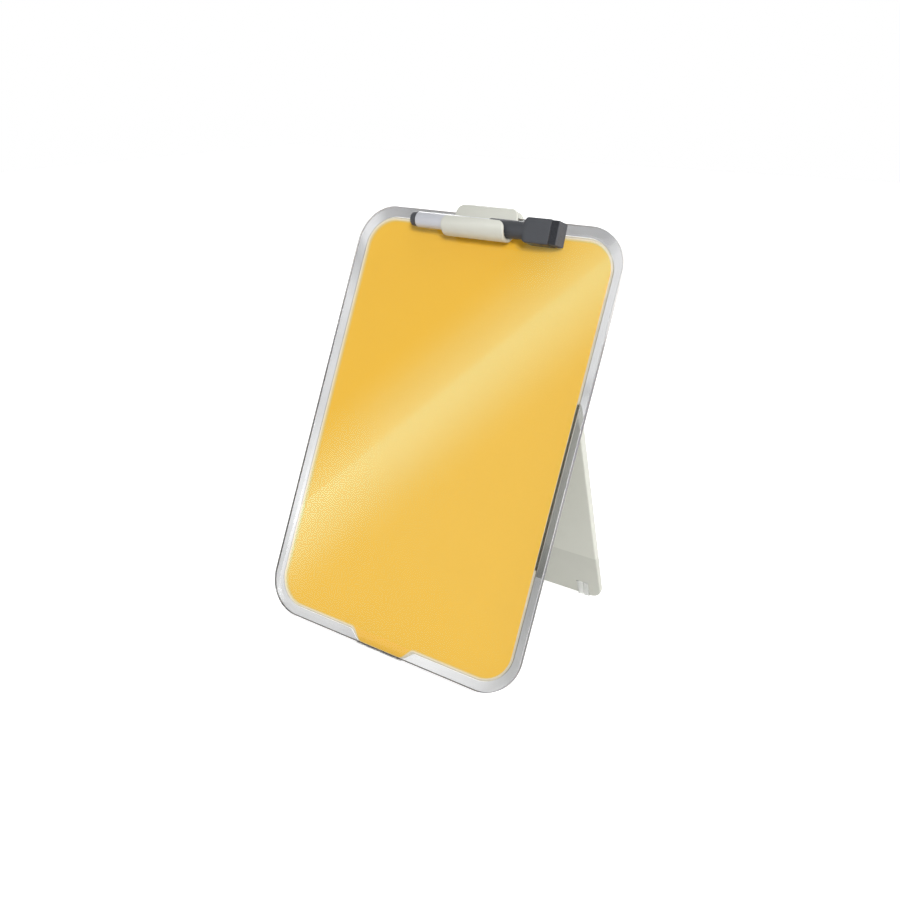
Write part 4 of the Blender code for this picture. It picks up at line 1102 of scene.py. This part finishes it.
def build_camera():
    forward, _, _ = camera_axes()
    data = bpy.data.cameras.new("camera")
    data.sensor_width = SENSOR_WIDTH_MM
    data.lens = FOCAL_LENGTH_PX / IMAGE_SIDE_PX * SENSOR_WIDTH_MM
    data.shift_x = (IMAGE_SIDE_PX / 2 - PRINCIPAL_POINT_PX[0]) / IMAGE_SIDE_PX
    data.shift_y = (PRINCIPAL_POINT_PX[1] - IMAGE_SIDE_PX / 2) / IMAGE_SIDE_PX
    data.clip_start, data.clip_end = CLIP_RANGE
    camera = add_object("camera", data)
    camera.location = Vector(CAMERA_TARGET) - forward * CAMERA_DISTANCE
    camera.rotation_mode = "QUATERNION"
    camera.rotation_quaternion = forward.to_track_quat("-Z", "Y")
    bpy.context.scene.camera = camera
    return camera


def mirrored_sight(camera, board, pixel):
    """Where the line of sight through a pixel meets the glass, and its direction from there on."""
    forward, right, up = camera_axes()
    sight = (forward + right * ((pixel[0] - PRINCIPAL_POINT_PX[0]) / FOCAL_LENGTH_PX)
             - up * ((pixel[1] - PRINCIPAL_POINT_PX[1]) / FOCAL_LENGTH_PX)).normalized()
    normal = -board.col[1].to_3d()
    reach = (board.translation - camera.location).dot(normal) / sight.dot(normal)
    return camera.location + sight * reach, sight - normal * 2 * sight.dot(normal)


def build_reflection_card(camera, board):
    """A glowing card that only mirrors see, whose sharp edge gives the line across the glass."""
    first, second = CARD_EDGE_PX
    middle = ((first[0] + second[0]) / 2, (first[1] + second[1]) / 2)
    on_glass, leaving = mirrored_sight(camera, board, middle)
    centre = on_glass + leaving * CARD_DISTANCE
    facing = -leaving

    def card_point(pixel):
        start, sight = mirrored_sight(camera, board, pixel)
        return start + sight * ((centre - start).dot(facing) / sight.dot(facing))

    left, right = card_point(first), card_point(second)
    along = (right - left).normalized()
    rise = facing.cross(along).normalized()
    half = CARD_LENGTH / 2
    for name, drop, shares in (("card_above", -CARD_ABOVE_PX, CARD_SHARES_ABOVE),
                               ("card_below", CARD_BELOW_PX, CARD_SHARES_BELOW)):
        reach = (card_point((middle[0], middle[1] + drop)) - left).dot(rise)
        card = add_quad(name, [(-half, 0, 0), (half, 0, 0), (half, reach, 0), (-half, reach, 0)])
        card.matrix_world = axes_matrix(along, rise, facing, centre)
        card.data.materials.append(card_material(name, reach, shares))
        for kind in ("camera", "diffuse", "transmission", "shadow", "volume_scatter"):
            setattr(card, "visible_" + kind, False)


def card_material(name, reach, shares):
    """Emission that falls off from the card's sharp edge over its reach."""
    material, tree = stage_material(name)
    away = share_between(tree, coordinate(tree, object_place(tree), "Y"), 0, reach)
    strength = calculate(tree, "MULTIPLY_ADD", ramp(tree, away, shares), CARD_LIGHT, 1.0)
    end_with(tree, add_node(tree, "Emission", {"Strength": strength}).outputs["Emission"])
    return material


def main():
    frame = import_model()
    board = board_frame(frame)
    stand = stand_frame(frame, board)
    pen = pen_frame(frame, board)
    camera = build_camera()
    glass = box_in(frame, "glass_plate", board)[1]

    shell = moulded_plastic("warm_white_plastic", SHELL_WHITE, 0.42)
    cap = moulded_plastic("slate_grey_plastic", SLATE_GREY, 0.45, spread=0.04, shine=0.2)
    white = moulded_plastic("white_plastic", INNER_WHITE, 0.38)
    grip = rubber("grey_rubber", GRIP_GREY)

    build_glass(frame, board, glass)
    build_print(frame, board, print_yellow(), glass)
    foam_low, foam_high = box_in(frame, "side_foam_right", board)
    build_carrier(frame, board, cream_sheet(board, foam_low, foam_high), glass)
    foam = dark_foam(board, foam_low.y)
    for node in ("side_foam_left", "side_foam_right"):
        dress_node(frame, node, foam)
    dress_node(frame, "back_cover", shell, MOULDED_EDGE)
    dress_node(frame, "board_foot_pad", rubber("clear_rubber", PAD_GREY, 0.7, 0.3))
    for node in ("hinge_pin_left", "hinge_pin_right"):
        dress_node(frame, node, white, PIN_EDGE)

    leaf_low = box_in(frame, "stand_leaf", stand)[0].z
    dress_node(frame, "stand_leaf", leaf_plastic(stand, leaf_low + CREASE_HEIGHT), MOULDED_EDGE)
    build_feet(frame, stand, rubber("milky_rubber", FOOT_WHITE, 0.45, 0.16))

    build_holder(frame, board, pen, shell)
    dress_node(frame, "holder_grip_pad", grip)

    fibre = ink_fibre()
    build_marker(frame, pen, {"tube": marker_tube(), "cap": cap, "white": white, "fibre": fibre})
    dress_node(frame, "marker_reservoir", fibre)
    build_cap(frame, pen, cap)
    dress_node(frame, "cap_inner_seal", white)
    build_felt(frame, pen)

    build_world()
    build_floor()
    for name, lamp in LAMPS.items():
        build_lamp(name, *lamp)
    build_reflection_card(camera, board)
    bpy.context.scene.view_settings.view_transform = "Standard"


main()
